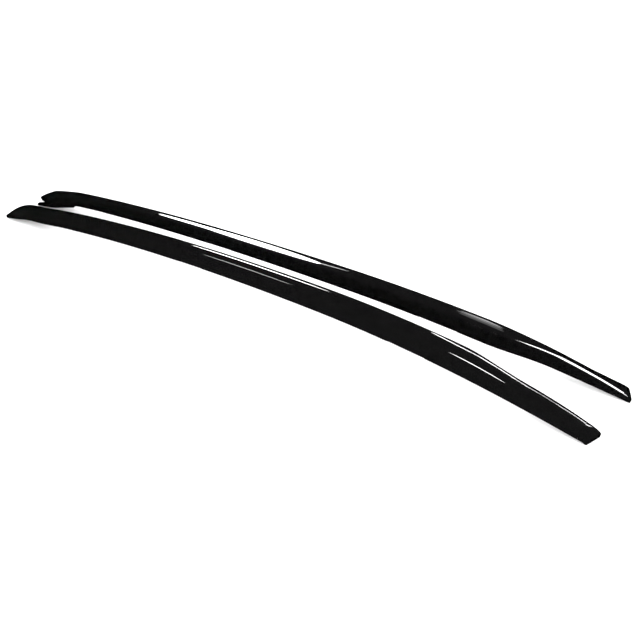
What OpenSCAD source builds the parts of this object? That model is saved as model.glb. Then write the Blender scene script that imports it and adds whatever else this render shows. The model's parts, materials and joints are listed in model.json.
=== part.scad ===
// Pair of gloss black roof side rails for the roof of a car, left and right hand.
// X runs along the rails from nose to tail, Y across them, Z up, in millimetres.
// The origin is on the ground, midway between the rails, which stand on their two ends.
// Places on a rail are given as [t, u, v]: t is the distance along its curve from the
// nose, u is the distance inboard of its centre line and v the height above its base.

/* [Pair] */
// Distance between the centre lines of the two rails
rail_spacing = 108; // [90:1:400]
// How far the right rail stands behind the left one
rail_stagger = 14; // [0:1:60]
// Angle by which each rail's tail is turned towards the other rail
toe_in = 0.52; // [0:0.02:1.5]

/* [Curve] */
// Length of a rail along its curve
rail_length = 1705; // [1600:5:1900]
// Length of the bend behind the nose
nose_bend_length = 330; // [300:5:450]
// Radius of the bend behind the nose
nose_bend_radius = 3250; // [2400:50:6000]
// Radius of the long middle stretch
crown_radius = 7350; // [6000:50:14000]
// Length of the bend ahead of the tail
tail_bend_length = 480; // [320:5:520]
// Radius of the bend ahead of the tail
tail_bend_radius = 2600; // [2200:50:6000]
// Angle by which the plane of the curve leans inboard
lean = 13; // [0:0.5:16]

/* [Bar section] */
// Width of the bar across its base
bar_width = 34.5; // [32:0.5:44]
// Height of the bar
bar_height = 31.5; // [28:0.5:36]
// How far the outboard side leans in over the height
outboard_batter = 9.75; // [4:0.25:10.5]
// How far the inboard side leans in over the height
inboard_batter = 0.75; // [0:0.25:4]
// Rise of the top face between its shoulders
top_crown = 0.8; // [0:0.1:2]
// Radius of the outboard shoulder
outboard_shoulder = 3.5; // [1:0.5:5]
// Radius of the inboard shoulder
inboard_shoulder = 2.5; // [1:0.5:5]
// Wall of the bar
bar_wall = 2.2; // [1.8:0.1:2.8]
// Height of the open channel under the bar
channel_height = 15; // [13.5:0.5:16]

/* [Front foot] */
// Distance from the nose to the front joint
front_joint = 320; // [300:5:330]
// Height of the nose's tip
nose_height = 5; // [4:0.5:10]
// Width of the nose's tip
nose_width = 3; // [2:0.5:8]
// Length over which the nose rises to full height
nose_rise_length = 190; // [150:5:230]
// How far a front foot swings inboard ahead of the bar
nose_swing = 7; // [0:0.5:10]
// How much lower the nose is on its outboard side
nose_shoulder_drop = 3.2; // [0:0.2:5]
// Reach of the front flange from the centre line
flange_reach = 41; // [34:0.5:46]
// Distance from the nose to the flange's front end
flange_start = 30; // [20:1:45]
// Distance from the nose to the flange's rear end
flange_end = 250; // [210:2:260]
// Thickness of the flange
flange_thickness = 4; // [3:0.2:5]
// How far the flange hangs below the base
flange_drop = 3; // [1:0.2:3]
// Diameter of the hole in the flange
flange_hole = 5; // [4:0.1:7]
// Distance from the nose to the hole in the flange
flange_hole_place = 112; // [80:1:140]
// Number of ribs in a front foot
front_ribs = 5; // [2:1:8]

/* [Rear foot] */
// Distance from the rear joint to the tail
rear_joint = 220; // [200:5:260]
// Height of the tail
tail_height = 10.5; // [8:0.5:18]
// Width of a rail at its tail
tail_width = 26; // [22:1:30]
// How much lower a rear foot is on its outboard side
tail_shoulder_drop = 13.4; // [8:0.2:14]
// How much further back the tail's inboard corner is than the outboard one
tail_skew = 10.4; // [0:0.2:12]
// Number of ribs in a rear foot
rear_ribs = 3; // [1:1:5]
// Length of the cap that closes the tail
cap_length = 20; // [16:1:26]
// Height of the base above the ground where a rail ends
end_height = 1.2; // [0.6:0.1:2]

/* [Both feet] */
// Wall of the moulded feet
foot_wall = 2.6; // [2:0.1:3.2]
// Thickness of the ribs inside the feet
rib_thickness = 2; // [1.5:0.1:3]

/* [Joiners] */
// Width of the joiner bars
joiner_width = 13; // [10:0.5:15]
// Height of the joiner bars
joiner_height = 6; // [4:0.2:7]
// Length of joiner inside the bar
joiner_in_bar = 60; // [40:2:90]
// Length of joiner inside a front foot
joiner_in_front_foot = 100; // [60:2:120]
// Length of joiner inside a rear foot
joiner_in_rear_foot = 50; // [40:2:60]
// Diameter of the small screws that hold the joiners
joiner_screw = 3.5; // [3:0.1:4]

/* [Fixings] */
// Distance from the nose to the front fixing
front_fixing = 380; // [372:1:410]
// Distance from the nose to the middle fixing
middle_fixing = 880; // [800:1:950]
// Distance from the rear fixing to the tail
rear_fixing = 300; // [290:1:340]
// Length of a clip along the rail
clip_length = 55; // [48:1:64]
// Depth of a clip across the rail
clip_depth = 25.5; // [22:0.5:26]
// Height of a clip
clip_height = 8; // [7:0.2:9]
// Thickness of the sheet that a clip is folded from
clip_sheet = 1.6; // [1.2:0.1:2]
// Length of the two fingers of a clip
finger_length = 17.5; // [14:0.5:19]
// Width of the slot between the fingers
finger_slot = 10; // [8:0.5:14]
// Width of the lower leg of a clip
clip_leg = 9; // [6:0.5:12]
// Width of the notch in the front edge of a clip
clip_notch = 8; // [5:0.5:12]
// Length of a pad
pad_length = 68; // [60:1:80]
// Width of a pad
pad_width = 32; // [28:1:33]
// Thickness of a pad
pad_thickness = 3; // [2:0.1:4]
// How far a pad stands proud of the bar's base
pad_proud = 0.4; // [0.2:0.1:1]
// Diameter of the roof screws
roof_screw = 4.2; // [3.5:0.1:5]
// Length of the roof screws under the head
roof_screw_length = 18; // [14:0.5:22]
// Diameter of the roof screws' heads
roof_screw_head = 8.4; // [7:0.1:9.5]
// Height of the roof screws' heads
roof_screw_head_height = 2.4; // [1.8:0.1:3]

/* [Hidden] */

// Fineness of the arcs and the small clearances between pieces
arc_fineness = 2880;
arc_lap = 1;
arc_skin = 0.02;
shortest_arc = 15;
hole_fineness = 48;
seat_gap = 0.3;
joint_gap = 0.2;
cut = 1;

// The oblique tail turns about a point inboard of its middle, and the pair is centred over it
skew_centre = 0.15;
centring = tail_skew * (0.5 - skew_centre) / 2;

// Where things are along the curve
tail_bend_start = rail_length - tail_bend_length;
rear_joint_place = rail_length - rear_joint;
rear_fixing_place = rail_length - rear_fixing;
cap_start = rail_length - cap_length;
foot_end_front = front_joint - joint_gap / 2;
foot_start_rear = rear_joint_place + joint_gap / 2;

// The rail's curve: three tangent arcs that start level and turn downwards
function turn_of(distance, radius) = distance / radius * 180 / PI;
nose_turn = turn_of(nose_bend_length, nose_bend_radius);
crown_turn = turn_of(tail_bend_start - nose_bend_length, crown_radius);
function turned(t) =
    t <= nose_bend_length ? turn_of(t, nose_bend_radius)
    : t <= tail_bend_start ? nose_turn + turn_of(t - nose_bend_length, crown_radius)
    : nose_turn + crown_turn + turn_of(t - tail_bend_start, tail_bend_radius);
function run_between(a, b, radius) = radius * [sin(a) - sin(b), cos(b) - cos(a)];
function run_of(start, t0, t1, radius) =
    run_between(start - turned(t0), start - turned(t1), radius);
level_run = run_of(0, 0, nose_bend_length, nose_bend_radius)
    + run_of(0, nose_bend_length, tail_bend_start, crown_radius)
    + run_of(0, tail_bend_start, rail_length, tail_bend_radius);

// Both tips are brought level, and the curve is centred between them
nose_heading = -atan2(level_run.y, level_run.x);
chord = norm(level_run);
function heading(t) = nose_heading - turned(t);
function place(t) =
    t <= nose_bend_length
        ? [-chord / 2, 0] + run_of(nose_heading, 0, t, nose_bend_radius)
    : t <= tail_bend_start
        ? place(nose_bend_length) + run_of(nose_heading, nose_bend_length, t, crown_radius)
    : place(tail_bend_start) + run_of(nose_heading, tail_bend_start, t, tail_bend_radius);
function rail_point(t, u, v) =
    let (
        p = place(t),
        q = heading(t),
        out = u * sin(lean) + v * cos(lean),
        side = u * cos(lean) - v * sin(lean),
        h = p.y + cos(q) * out
    )
    [
        p.x - sin(q) * out,
        h * sin(lean) + side * cos(lean),
        h * cos(lean) - side * sin(lean)
    ];

// Easing from 0 to 1, and the width and height of a rail along its curve
function clamp(x) = max(0, min(1, x));
function ease(x) = let (c = clamp(x)) c * c * (3 - 2 * c);
function round_end(x) = sqrt(1 - pow(1 - clamp(x), 2));
nose_round = 105;
swing_end = 285;
swing_run = 150;
tail_taper = 110;
nose_share = 0.36;
nose_rise_power = 2.1;
tail_fall_power = 3;
function swing(t) = nose_swing * ease((swing_end - t) / swing_run);
function nose_taper(t) = (bar_width - nose_width) * (1 - round_end(t / nose_round));
function tail_narrowing(t) = (bar_width - tail_width) * ease((t - rear_joint_place) / tail_taper);
function outboard_side(t) = -bar_width / 2 + swing(t) + nose_share * nose_taper(t);
function inboard_side(t) =
    bar_width / 2 + swing(t) - (1 - nose_share) * nose_taper(t) - tail_narrowing(t);
function nose_fall(t) = pow(1 - clamp(t / nose_rise_length), nose_rise_power);
function tail_fall(t) = pow(clamp((t - rear_joint_place) / rear_joint), tail_fall_power);
function rail_height_at(t) =
    bar_height
    - (bar_height - nose_height) * nose_fall(t)
    - (bar_height - tail_height) * tail_fall(t);
function rail_width_at(t) = inboard_side(t) - outboard_side(t);
function rail_middle_at(t) = (inboard_side(t) + outboard_side(t)) / 2;

// The top of a foot tips outboard: near the nose, and along the whole of the rear foot
function tip_at(t) =
    nose_shoulder_drop * min(ease(t / 15), ease((135 - t) / 50))
    + tail_shoulder_drop * min(
        ease((t - rear_joint_place + 10) / 185),
        ease((rail_length + 55 - t) / 130));
function tipped(t, outline) =
    let (w = rail_width_at(t), h = rail_height_at(t), m = rail_middle_at(t), d = tip_at(t))
    [for (p = outline) [p.x + m, p.y - d * p.y / h * (w / 2 - p.x) / w]];

// Outline of a section, anticlockwise from the outboard base corner
function arc_points(centre, radius, from, to, steps) =
    [for (i = [0:steps]) centre + radius * [cos(from + (to - from) * i / steps),
                                            sin(from + (to - from) * i / steps)]];
function section(width, height) =
    let (
        k = height / bar_height,
        lean_out = outboard_batter * k,
        lean_in = inboard_batter * k,
        out_r = outboard_shoulder * min(1, k * 1.2),
        in_r = inboard_shoulder * min(1, k * 1.2),
        out_tilt = atan2(lean_out, height),
        in_tilt = atan2(lean_in, height),
        left = -width / 2 + lean_out,
        right = width / 2 - lean_in,
        out_c = [left + out_r * tan(45 - out_tilt / 2) , height - out_r],
        in_c = [right - in_r * tan(45 - in_tilt / 2), height - in_r]
    )
    concat(
        [[-width / 2, 0], [width / 2, 0]],
        arc_points(in_c, in_r, in_tilt, 90, 4),
        [[(in_c.x + out_c.x) / 2, height + top_crown * k]],
        arc_points(out_c, out_r, 90, 180 - out_tilt, 4)
    );

// Faces of a skin through rings of points, closed at both ends
function ring_faces(rings, points) = concat(
    [for (j = [1:points - 2]) [0, j, j + 1]],
    let (last = (rings - 1) * points)
        [for (j = [1:points - 2]) [last, last + j + 1, last + j]],
    [for (i = [0:rings - 2], j = [0:points - 1])
        let (n = (j + 1) % points, a = i * points, b = a + points)
        [a + j, b + j, b + n]],
    [for (i = [0:rings - 2], j = [0:points - 1])
        let (n = (j + 1) % points, a = i * points, b = a + points)
        [a + j, b + n, a + n]]
);
module loft(rings) {
    points = len(rings[0]);
    polyhedron(
        points = [for (ring = rings) each ring],
        faces = ring_faces(len(rings), points),
        convexity = 6
    );
}

// Plane of the curve, and a frame that stands on the rail's base at t
module in_curve_plane() {
    rotate([-lean, 0, 0]) rotate([90, 0, 0]) children();
}
module at_place(t) {
    p = place(t);
    rotate([-lean, 0, 0])
        translate([p.x, 0, p.y])
        rotate([0, -heading(t), 0])
        rotate([lean, 0, 0])
        children();
}

// A flat profile in [u, v] carried along the three arcs, each pinned at one of their joints
module sweep_arc(pin, t0, t1, radius, $skin) {
    p = place(pin);
    q = heading(pin);
    start = q + turn_of(pin - t0, radius);
    end = q - turn_of(t1 - pin, radius);
    in_curve_plane()
        translate([p.x + radius * sin(q), p.y - radius * cos(q), 0])
        rotate([0, 0, 90 + end])
        rotate_extrude(angle = start - end, $fn = arc_fineness)
        translate([radius, 0])
        rotate(lean - 90)
        children();
}

// The two end arcs run a little way into the middle one, inside its skin
module sweep(t0, t1) {
    in_nose = nose_bend_length - t0 > shortest_arc;
    in_crown = min(t1, tail_bend_start) - max(t0, nose_bend_length) > shortest_arc;
    in_tail = t1 - tail_bend_start > shortest_arc;
    crown_pin = in_nose ? nose_bend_length : tail_bend_start;
    if (in_nose)
        sweep_arc(nose_bend_length, t0, in_crown ? nose_bend_length + arc_lap : t1,
                  nose_bend_radius, arc_skin)
            children();
    if (in_crown)
        sweep_arc(crown_pin, in_nose ? nose_bend_length : t0,
                  in_tail ? tail_bend_start : t1, crown_radius, 0)
            children();
    if (in_tail)
        sweep_arc(tail_bend_start, in_crown ? tail_bend_start - arc_lap : t0, t1,
                  tail_bend_radius, arc_skin)
            children();
}

// Section of the extruded bar: a closed cell over an open channel with two lips
web = bar_wall * 0.9;
cell_floor = channel_height + web;
cell_roof = bar_height - bar_wall - 0.2;
function outboard_wall(v) = -bar_width / 2 + outboard_batter * v / bar_height + bar_wall;
function inboard_wall(v) = bar_width / 2 - inboard_batter * v / bar_height - bar_wall;
clip_base = pad_thickness - pad_proud;
clip_top = clip_base + clip_height;
lip_length = 2.4;
lip_height = 1.6;
module bar_section() {
    difference() {
        translate([0, $skin])
            polygon(section(bar_width - 2 * $skin, bar_height - 2 * $skin));
        bar_cell();
        difference() {
            polygon([
                [outboard_wall(-cut) - $skin, -cut],
                [inboard_wall(-cut) + $skin, -cut],
                [inboard_wall(channel_height) + $skin, channel_height + $skin],
                [outboard_wall(channel_height) - $skin, channel_height + $skin]
            ]);
            inboard_lip();
            outboard_lip();
        }
    }
}
module bar_cell() {
    left = outboard_wall(cell_floor) - $skin;
    right = inboard_wall(cell_floor) + $skin;
    low = cell_floor - $skin;
    top_left = outboard_wall(cell_roof) - $skin;
    top_right = inboard_wall(cell_roof) + $skin;
    high = cell_roof + $skin;
    polygon([
        [left + 1.5, low],
        [right - 1.5, low],
        [right, low + 1.5],
        [top_right, high - 1.5],
        [top_right - 1.5, high],
        [top_left + 2.5, high],
        [top_left + 0.6, high - 1.8],
        [left, low + 1.5]
    ]);
}

// The inboard lip passes under the clips' fingers, the outboard lip rests on the clips
module inboard_lip() {
    top = clip_top - clip_sheet - seat_gap;
    translate([inboard_wall(top) - lip_length + $skin, top - lip_height + $skin])
        square([lip_length + cut, lip_height - 2 * $skin]);
}
module outboard_lip() {
    bottom = clip_top + seat_gap;
    translate([outboard_wall(bottom) - cut, bottom + $skin])
        square([lip_length + cut - $skin, lip_height - 2 * $skin]);
}

// Extruded bar, bent to the curve, with a pocket in its base for each pad
pocket_gap = 0.8;
module bar_body() {
    difference() {
        sweep(front_joint + joint_gap / 2, rear_joint_place - joint_gap / 2)
            bar_section();
        for (t = [front_fixing, middle_fixing, rear_fixing_place])
            at_place(t)
                translate([-pad_length / 2 - pocket_gap, -bar_width, -bar_width])
                cube([pad_length + 2 * pocket_gap, 2 * bar_width, bar_width + clip_base]);
        for (t = [front_joint + joiner_in_bar - 12, rear_joint_place - joiner_in_bar + 12])
            at_place(t)
                translate([0, joiner_shift, channel_height - cut])
                cylinder(d = joiner_screw + joint_gap, h = web + 2 * cut, $fn = hole_fineness);
    }
}

// Hollow of a foot: the section drawn in by the wall and left open below
function hollow(width, height) =
    let (
        k = height / bar_height,
        top = height - foot_wall,
        out_at_top = -width / 2 + outboard_batter * k + foot_wall + 1.4 * k,
        in_at_top = width / 2 - inboard_batter * k - foot_wall - 0.6 * k
    )
    [
        [-width / 2 + foot_wall, -cut],
        [width / 2 - foot_wall, -cut],
        [in_at_top, top - 1.2 * k],
        [in_at_top - 1.2 * k, top],
        [out_at_top + 2.2 * k, top],
        [out_at_top, top - 1.6 * k]
    ];
function on_rail(t, outline) = [for (p = outline) rail_point(t, p.x, p.y)];

// Front foot: a tapered hollow moulding with ribs, a flange and a screw hole
nose_steps = [0, 3, 8, 15, 24, 36, 50, 66];
front_steps = 11;
hollow_nose = 44;
hollow_steps = 8;
nose_drop_run = 25;
function even(i, n, from, to) = from + (to - from) * i / n;
front_stations = concat(
    nose_steps,
    [for (i = [1:front_steps]) even(i, front_steps, nose_steps[len(nose_steps) - 1], foot_end_front)]
);
function base_drop(t) = end_height * (1 - ease(t / nose_drop_run));
function beak_rise(t) = 2 * (1 - ease(t / 30));
function based(t, p) =
    p.y > 0 ? p : [p.x, p.x > rail_middle_at(t) ? beak_rise(t) : -base_drop(t)];
function foot_outline(t) = tipped(t, section(rail_width_at(t), rail_height_at(t)));
function foot_ring(t) = on_rail(t, [for (p = foot_outline(t)) based(t, p)]);
function hollow_ring(t) = on_rail(t, tipped(t, hollow(rail_width_at(t), rail_height_at(t))));
module front_foot_body() {
    difference() {
        union() {
            difference() {
                loft([for (t = front_stations) foot_ring(t)]);
                loft([for (i = [0:hollow_steps])
                    hollow_ring(even(i, hollow_steps, hollow_nose, front_joint + cut))]);
            }
            foot_ribs(front_ribs, hollow_nose, front_joint);
            front_flange();
        }
        joiner_space(front_joint - joiner_in_front_foot, front_joint + cut);
        at_place(flange_hole_place)
            translate([0, flange_hole_side, -flange_drop - cut])
            cylinder(d = flange_hole, h = flange_thickness + 2 * cut, $fn = hole_fineness);
    }
}

// The flange starts as a prong beside the nose and narrows towards its rear end
prong_gap = 27;
prong_free_length = 30;
flange_full_length = 120;
flange_end_reach = 23;
flange_side_steps = [0, 0.02, 0.06, 0.12, 0.2, 0.3, 0.42, 0.56, 0.7, 0.85, 0.97, 1];
flange_hole_side = 30;
function flange_root(t) =
    let (free = 1 - ease((t - flange_start - prong_free_length / 2) / prong_free_length))
    inboard_side(t) - foot_wall + (prong_gap - inboard_side(t) + foot_wall) * free;
function flange_edge(t) =
    let (
        narrowing = clamp((t - flange_start - flange_full_length)
            / (flange_end - flange_start - flange_full_length)),
        front = round_end((t - flange_start) / 16)
    )
    flange_reach - (flange_reach - flange_end_reach) * narrowing - 8 * (1 - front);
function flange_ring(t) =
    let (low = -flange_drop, high = flange_thickness - flange_drop, bevel = flange_thickness * 0.25)
    on_rail(t, [
        [flange_root(t), low],
        [flange_edge(t), low],
        [flange_edge(t), high - bevel],
        [flange_edge(t) - bevel, high],
        [flange_root(t), high]
    ]);
module front_flange() {
    loft([for (x = flange_side_steps) flange_ring(flange_start + (flange_end - flange_start) * x)]);
}

// Ribs across the inside of a foot, cut to its hollow
rib_depth = 2;
module foot_ribs(count, t0, t1) {
    for (i = [1:count]) {
        t = t0 + (t1 - t0) * i / (count + 1);
        w = rail_width_at(t);
        h = rail_height_at(t);
        side = foot_wall / 2;
        outboard_top = -w / 2 + outboard_batter * h / bar_height + foot_wall;
        at_place(t)
            rotate([90, 0, 90])
            translate([0, 0, -rib_thickness / 2])
            linear_extrude(rib_thickness)
            polygon(tipped(t, [
                [-w / 2 + side, rib_depth],
                [w / 2 - side, rib_depth],
                [w / 2 - foot_wall - 0.5, h - foot_wall / 2 - 0.6],
                [outboard_top, h - foot_wall / 2 - 0.6]
            ]));
    }
}

// Joiner bars run in the bar's cell and on into the feet
joiner_floor = cell_floor + seat_gap;
joiner_shift = (outboard_wall(cell_floor) + inboard_wall(cell_roof)) / 2 + 1;
module joiner_profile(extra) {
    grow = extra - $skin;
    translate([joiner_shift - joiner_width / 2 - grow, joiner_floor - grow])
        square([joiner_width + 2 * grow, joiner_height + 2 * grow]);
}
module joiner_space(t0, t1) {
    sweep(t0, t1) joiner_profile(seat_gap);
}
module front_joiner_body() {
    difference() {
        sweep(front_joint - joiner_in_front_foot + joint_gap, front_joint + joiner_in_bar)
            joiner_profile(0);
        joiner_bore(front_joint + joiner_in_bar - 12);
    }
}
module rear_joiner_body() {
    difference() {
        sweep(rear_joint_place - joiner_in_bar, rear_joint_place + joiner_in_rear_foot - joint_gap)
            joiner_profile(0);
        joiner_bore(rear_joint_place - joiner_in_bar + 12);
    }
}
module joiner_bore(t) {
    at_place(t)
        translate([0, joiner_shift, channel_height - cut])
        cylinder(d = joiner_screw, h = bar_height, $fn = hole_fineness);
}

// Rear foot: a hollow moulding that narrows and falls away to the tail
rear_steps = 14;
rear_foot_end = cap_start - joint_gap;
module rear_foot_body() {
    difference() {
        union() {
            difference() {
                loft([for (i = [0:rear_steps]) foot_ring(even(i, rear_steps, foot_start_rear, rear_foot_end))]);
                loft([for (i = [0:hollow_steps])
                    hollow_ring(even(i, hollow_steps, rear_joint_place - cut, cap_start + cut))]);
            }
            foot_ribs(rear_ribs, rear_joint_place, cap_start);
        }
        joiner_space(rear_joint_place - cut, rear_joint_place + joiner_in_rear_foot);
    }
}

// Tail cap: closes the rear foot obliquely, with a plug inside and a lip down to the ground
cap_steps = [0, 0.25, 0.5, 0.7, 0.85, 0.95, 1];
plug_length = 14;
plug_fit = 0.93;
lip_steps = [0, 0.5, 1];
lip_run = 7;
lip_root = 1.5;
function cap_height_factor(x) = 1 - 0.35 * pow(x, 5);
function cap_width_factor(x) = 1 - 0.06 * pow(x, 4);
function skewed(t, u) =
    let (side = (u - rail_middle_at(t)) / rail_width_at(t) - skew_centre)
    t + tail_skew * side * clamp((t - cap_start) / cap_length);
function on_cap(t, outline) = [for (p = outline) rail_point(skewed(t, p.x), p.x, p.y)];
function above_ground(t, u) = end_height + rail_point(skewed(t, u), u, 0).z;
module tail_cap_body() {
    loft([for (x = cap_steps)
        let (
            t = cap_start + cap_length * x,
            m = rail_middle_at(t),
            outline = section(rail_width_at(t), rail_height_at(t) * cap_height_factor(x))
        )
        on_cap(t, [for (p = tipped(t, outline)) [m + (p.x - m) * cap_width_factor(x), p.y]])]);
    cap_plug();
    cap_lip();
}
module cap_plug() {
    loft([for (i = [0:2])
        let (
            t = even(i, 2, cap_start - plug_length, cap_start + 1),
            inside = hollow(rail_width_at(t) * plug_fit, rail_height_at(t) * plug_fit)
        )
        on_rail(t, tipped(t, [for (p = inside) [p.x, max(1, p.y)]]))]);
}
module cap_lip() {
    loft([for (x = lip_steps)
        let (
            t = rail_length - lip_run * (1 - x),
            out = outboard_side(t) * cap_width_factor(x) + 0.6,
            in = inboard_side(t) * cap_width_factor(x) - 0.6,
            depth = 0.1 + 0.86 * x
        )
        on_cap(t, [
            [out, -depth * above_ground(t, out)],
            [in, -depth * above_ground(t, in)],
            [in, lip_root],
            [out, lip_root]
        ])]);
}

// Clip: one folded sheet with two holed fingers above and a short leg below
clip_bend = clip_sheet + 1.2;
clip_side = outboard_wall(clip_top) + seat_gap;
finger_hole = 4.8;
finger_width = (clip_length - finger_slot) / 2;
module clip_profile() {
    difference() {
        union() {
            square([clip_leg, clip_height]);
            translate([clip_bend, clip_height - clip_sheet])
                square([clip_depth - clip_bend, clip_sheet]);
        }
        translate([clip_bend, clip_sheet])
            square([clip_leg, clip_height - 2 * clip_sheet]);
        translate([clip_sheet, clip_bend])
            square([clip_leg, clip_height - 2 * clip_bend]);
        for (v = [clip_bend, clip_height - clip_bend])
            translate([clip_bend, v]) circle(r = clip_bend - clip_sheet, $fn = hole_fineness);
        bend_corner(0);
        translate([0, clip_height]) mirror([0, 1]) bend_corner(0);
    }
}
module bend_corner(at) {
    translate([at, at])
        difference() {
            translate([-cut, -cut]) square(clip_bend + cut);
            translate([clip_bend, clip_bend]) circle(r = clip_bend, $fn = hole_fineness);
        }
}
module clip_body(t) {
    at_place(t)
        translate([0, clip_side, clip_base])
        difference() {
            rotate([90, 0, 90])
                translate([0, 0, -clip_length / 2])
                linear_extrude(clip_length)
                clip_profile();
            translate([-finger_slot / 2, clip_depth - finger_length + finger_slot / 2, -cut])
                cube([finger_slot, clip_depth, clip_height + 2 * cut]);
            translate([0, clip_depth - finger_length + finger_slot / 2, -cut])
                cylinder(d = finger_slot, h = clip_height + 2 * cut, $fn = hole_fineness);
            translate([-clip_notch / 2, -cut, -cut])
                cube([clip_notch, clip_bend + cut, clip_height - clip_bend + cut]);
            for (side = [-1, 1]) {
                translate([side * finger_pitch / 2, clip_depth - finger_hole_inset, -cut])
                    cylinder(d = finger_hole, h = clip_height + 2 * cut, $fn = hole_fineness);
                for (edge = [-1, 1])
                    finger_round(side * finger_pitch / 2, edge);
            }
        }
}
finger_pitch = clip_length - finger_width;
finger_hole_inset = 7;
finger_round_r = 5;
module finger_round(x, edge) {
    translate([x + edge * (finger_width / 2 - finger_round_r), clip_depth - finger_round_r, -cut])
        difference() {
            scale([edge, 1, 1])
                cube([finger_round_r + cut, finger_round_r + cut, clip_height + 2 * cut]);
            cylinder(r = finger_round_r, h = clip_height + 2 * cut, $fn = hole_fineness);
        }
}

// Pad: a rubber sheet with a hole for each roof screw
module pad_body(t) {
    at_place(t)
        difference() {
            translate([-pad_length / 2, -pad_width / 2, -pad_proud])
                cube([pad_length, pad_width, pad_thickness]);
            screw_places()
                translate([0, 0, -pad_proud - cut])
                cylinder(d = roof_screw + joint_gap, h = pad_thickness + 2 * cut, $fn = hole_fineness);
        }
}

// Roof screws: one in each finger and one in the slot between them
finger_line = clip_side + clip_depth - finger_hole_inset;
slot_line = clip_side + clip_depth - finger_length + finger_slot / 2;
module screw_places() {
    for (side = [-1, 1])
        translate([side * finger_pitch / 2, finger_line, 0]) children();
    translate([0, slot_line, 0]) children();
}
module roof_screws_body(t) {
    at_place(t)
        screw_places()
        translate([0, 0, clip_top])
        pan_screw(roof_screw, roof_screw_length, roof_screw_head, roof_screw_head_height);
}
module pan_screw(shank, length, head, head_height) {
    point = shank * 0.9;
    recess = head_height * 0.55;
    difference() {
        rotate_extrude($fn = hole_fineness)
            polygon([
                [0, -length],
                [shank / 2, -length + point],
                [shank / 2, 0],
                [head / 2, 0],
                [head / 2, head_height * 0.35],
                [head * 0.44, head_height * 0.72],
                [head * 0.3, head_height * 0.95],
                [0, head_height]
            ]);
        for (a = [0, 90])
            rotate([0, 0, a])
                translate([-head * 0.27, -head * 0.055, head_height - recess])
                cube([head * 0.54, head * 0.11, recess + cut]);
    }
}

// Small screws: one up into each joiner through the web of the bar
joiner_screw_length = 9;
module joiner_screws_body() {
    for (t = [front_joint + joiner_in_bar - 12, rear_joint_place - joiner_in_bar + 12])
        at_place(t)
            translate([0, joiner_shift, channel_height])
            rotate([180, 0, 0])
            pan_screw(joiner_screw, joiner_screw_length, joiner_screw * 1.9, joiner_screw * 0.6);
}

// Where each rail stands
module left_side() {
    translate([-rail_stagger / 2 - centring, -rail_spacing / 2, end_height])
        rotate([0, 0, toe_in])
        children();
}
module right_side() {
    translate([rail_stagger / 2 - centring, rail_spacing / 2, end_height])
        rotate([0, 0, -toe_in])
        mirror([0, 1, 0])
        children();
}

// Colours of the pieces
gloss_black = [0.03, 0.03, 0.035];
raw_aluminium = [0.72, 0.73, 0.75];
zinc_plate = [0.78, 0.8, 0.82];
black_rubber = [0.06, 0.06, 0.06];
black_screw = [0.12, 0.11, 0.11];

// Left rail
module left_bar() color(gloss_black) left_side() bar_body();
module left_front_foot() color(gloss_black) left_side() front_foot_body();
module left_rear_foot() color(gloss_black) left_side() rear_foot_body();
module left_tail_cap() color(gloss_black) left_side() tail_cap_body();
module left_front_joiner() color(raw_aluminium) left_side() front_joiner_body();
module left_rear_joiner() color(raw_aluminium) left_side() rear_joiner_body();
module left_joiner_screws() color(zinc_plate) left_side() joiner_screws_body();
module left_front_clip() color(zinc_plate) left_side() clip_body(front_fixing);
module left_middle_clip() color(zinc_plate) left_side() clip_body(middle_fixing);
module left_rear_clip() color(zinc_plate) left_side() clip_body(rear_fixing_place);
module left_front_pad() color(black_rubber) left_side() pad_body(front_fixing);
module left_middle_pad() color(black_rubber) left_side() pad_body(middle_fixing);
module left_rear_pad() color(black_rubber) left_side() pad_body(rear_fixing_place);
module left_front_screws() color(black_screw) left_side() roof_screws_body(front_fixing);
module left_middle_screws() color(black_screw) left_side() roof_screws_body(middle_fixing);
module left_rear_screws() color(black_screw) left_side() roof_screws_body(rear_fixing_place);

// Right rail
module right_bar() color(gloss_black) right_side() bar_body();
module right_front_foot() color(gloss_black) right_side() front_foot_body();
module right_rear_foot() color(gloss_black) right_side() rear_foot_body();
module right_tail_cap() color(gloss_black) right_side() tail_cap_body();
module right_front_joiner() color(raw_aluminium) right_side() front_joiner_body();
module right_rear_joiner() color(raw_aluminium) right_side() rear_joiner_body();
module right_joiner_screws() color(zinc_plate) right_side() joiner_screws_body();
module right_front_clip() color(zinc_plate) right_side() clip_body(front_fixing);
module right_middle_clip() color(zinc_plate) right_side() clip_body(middle_fixing);
module right_rear_clip() color(zinc_plate) right_side() clip_body(rear_fixing_place);
module right_front_pad() color(black_rubber) right_side() pad_body(front_fixing);
module right_middle_pad() color(black_rubber) right_side() pad_body(middle_fixing);
module right_rear_pad() color(black_rubber) right_side() pad_body(rear_fixing_place);
module right_front_screws() color(black_screw) right_side() roof_screws_body(front_fixing);
module right_middle_screws() color(black_screw) right_side() roof_screws_body(middle_fixing);
module right_rear_screws() color(black_screw) right_side() roof_screws_body(rear_fixing_place);

left_bar();
left_front_foot();
left_rear_foot();
left_tail_cap();
left_front_joiner();
left_rear_joiner();
left_joiner_screws();
left_front_clip();
left_middle_clip();
left_rear_clip();
left_front_pad();
left_middle_pad();
left_rear_pad();
left_front_screws();
left_middle_screws();
left_rear_screws();
right_bar();
right_front_foot();
right_rear_foot();
right_tail_cap();
right_front_joiner();
right_rear_joiner();
right_joiner_screws();
right_front_clip();
right_middle_clip();
right_rear_clip();
right_front_pad();
right_middle_pad();
right_rear_pad();
right_front_screws();
right_middle_screws();
right_rear_screws();
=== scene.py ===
"""Dress the pair of gloss black roof side rails and set them out in a white studio.

Places on a rail are given as [t, u, v]: t is the distance along its curve from the nose,
u the distance inboard of its centre line and v the height above its base, all in metres.
"""

import json
import logging
import math
from dataclasses import dataclass, field
from enum import Enum

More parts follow.
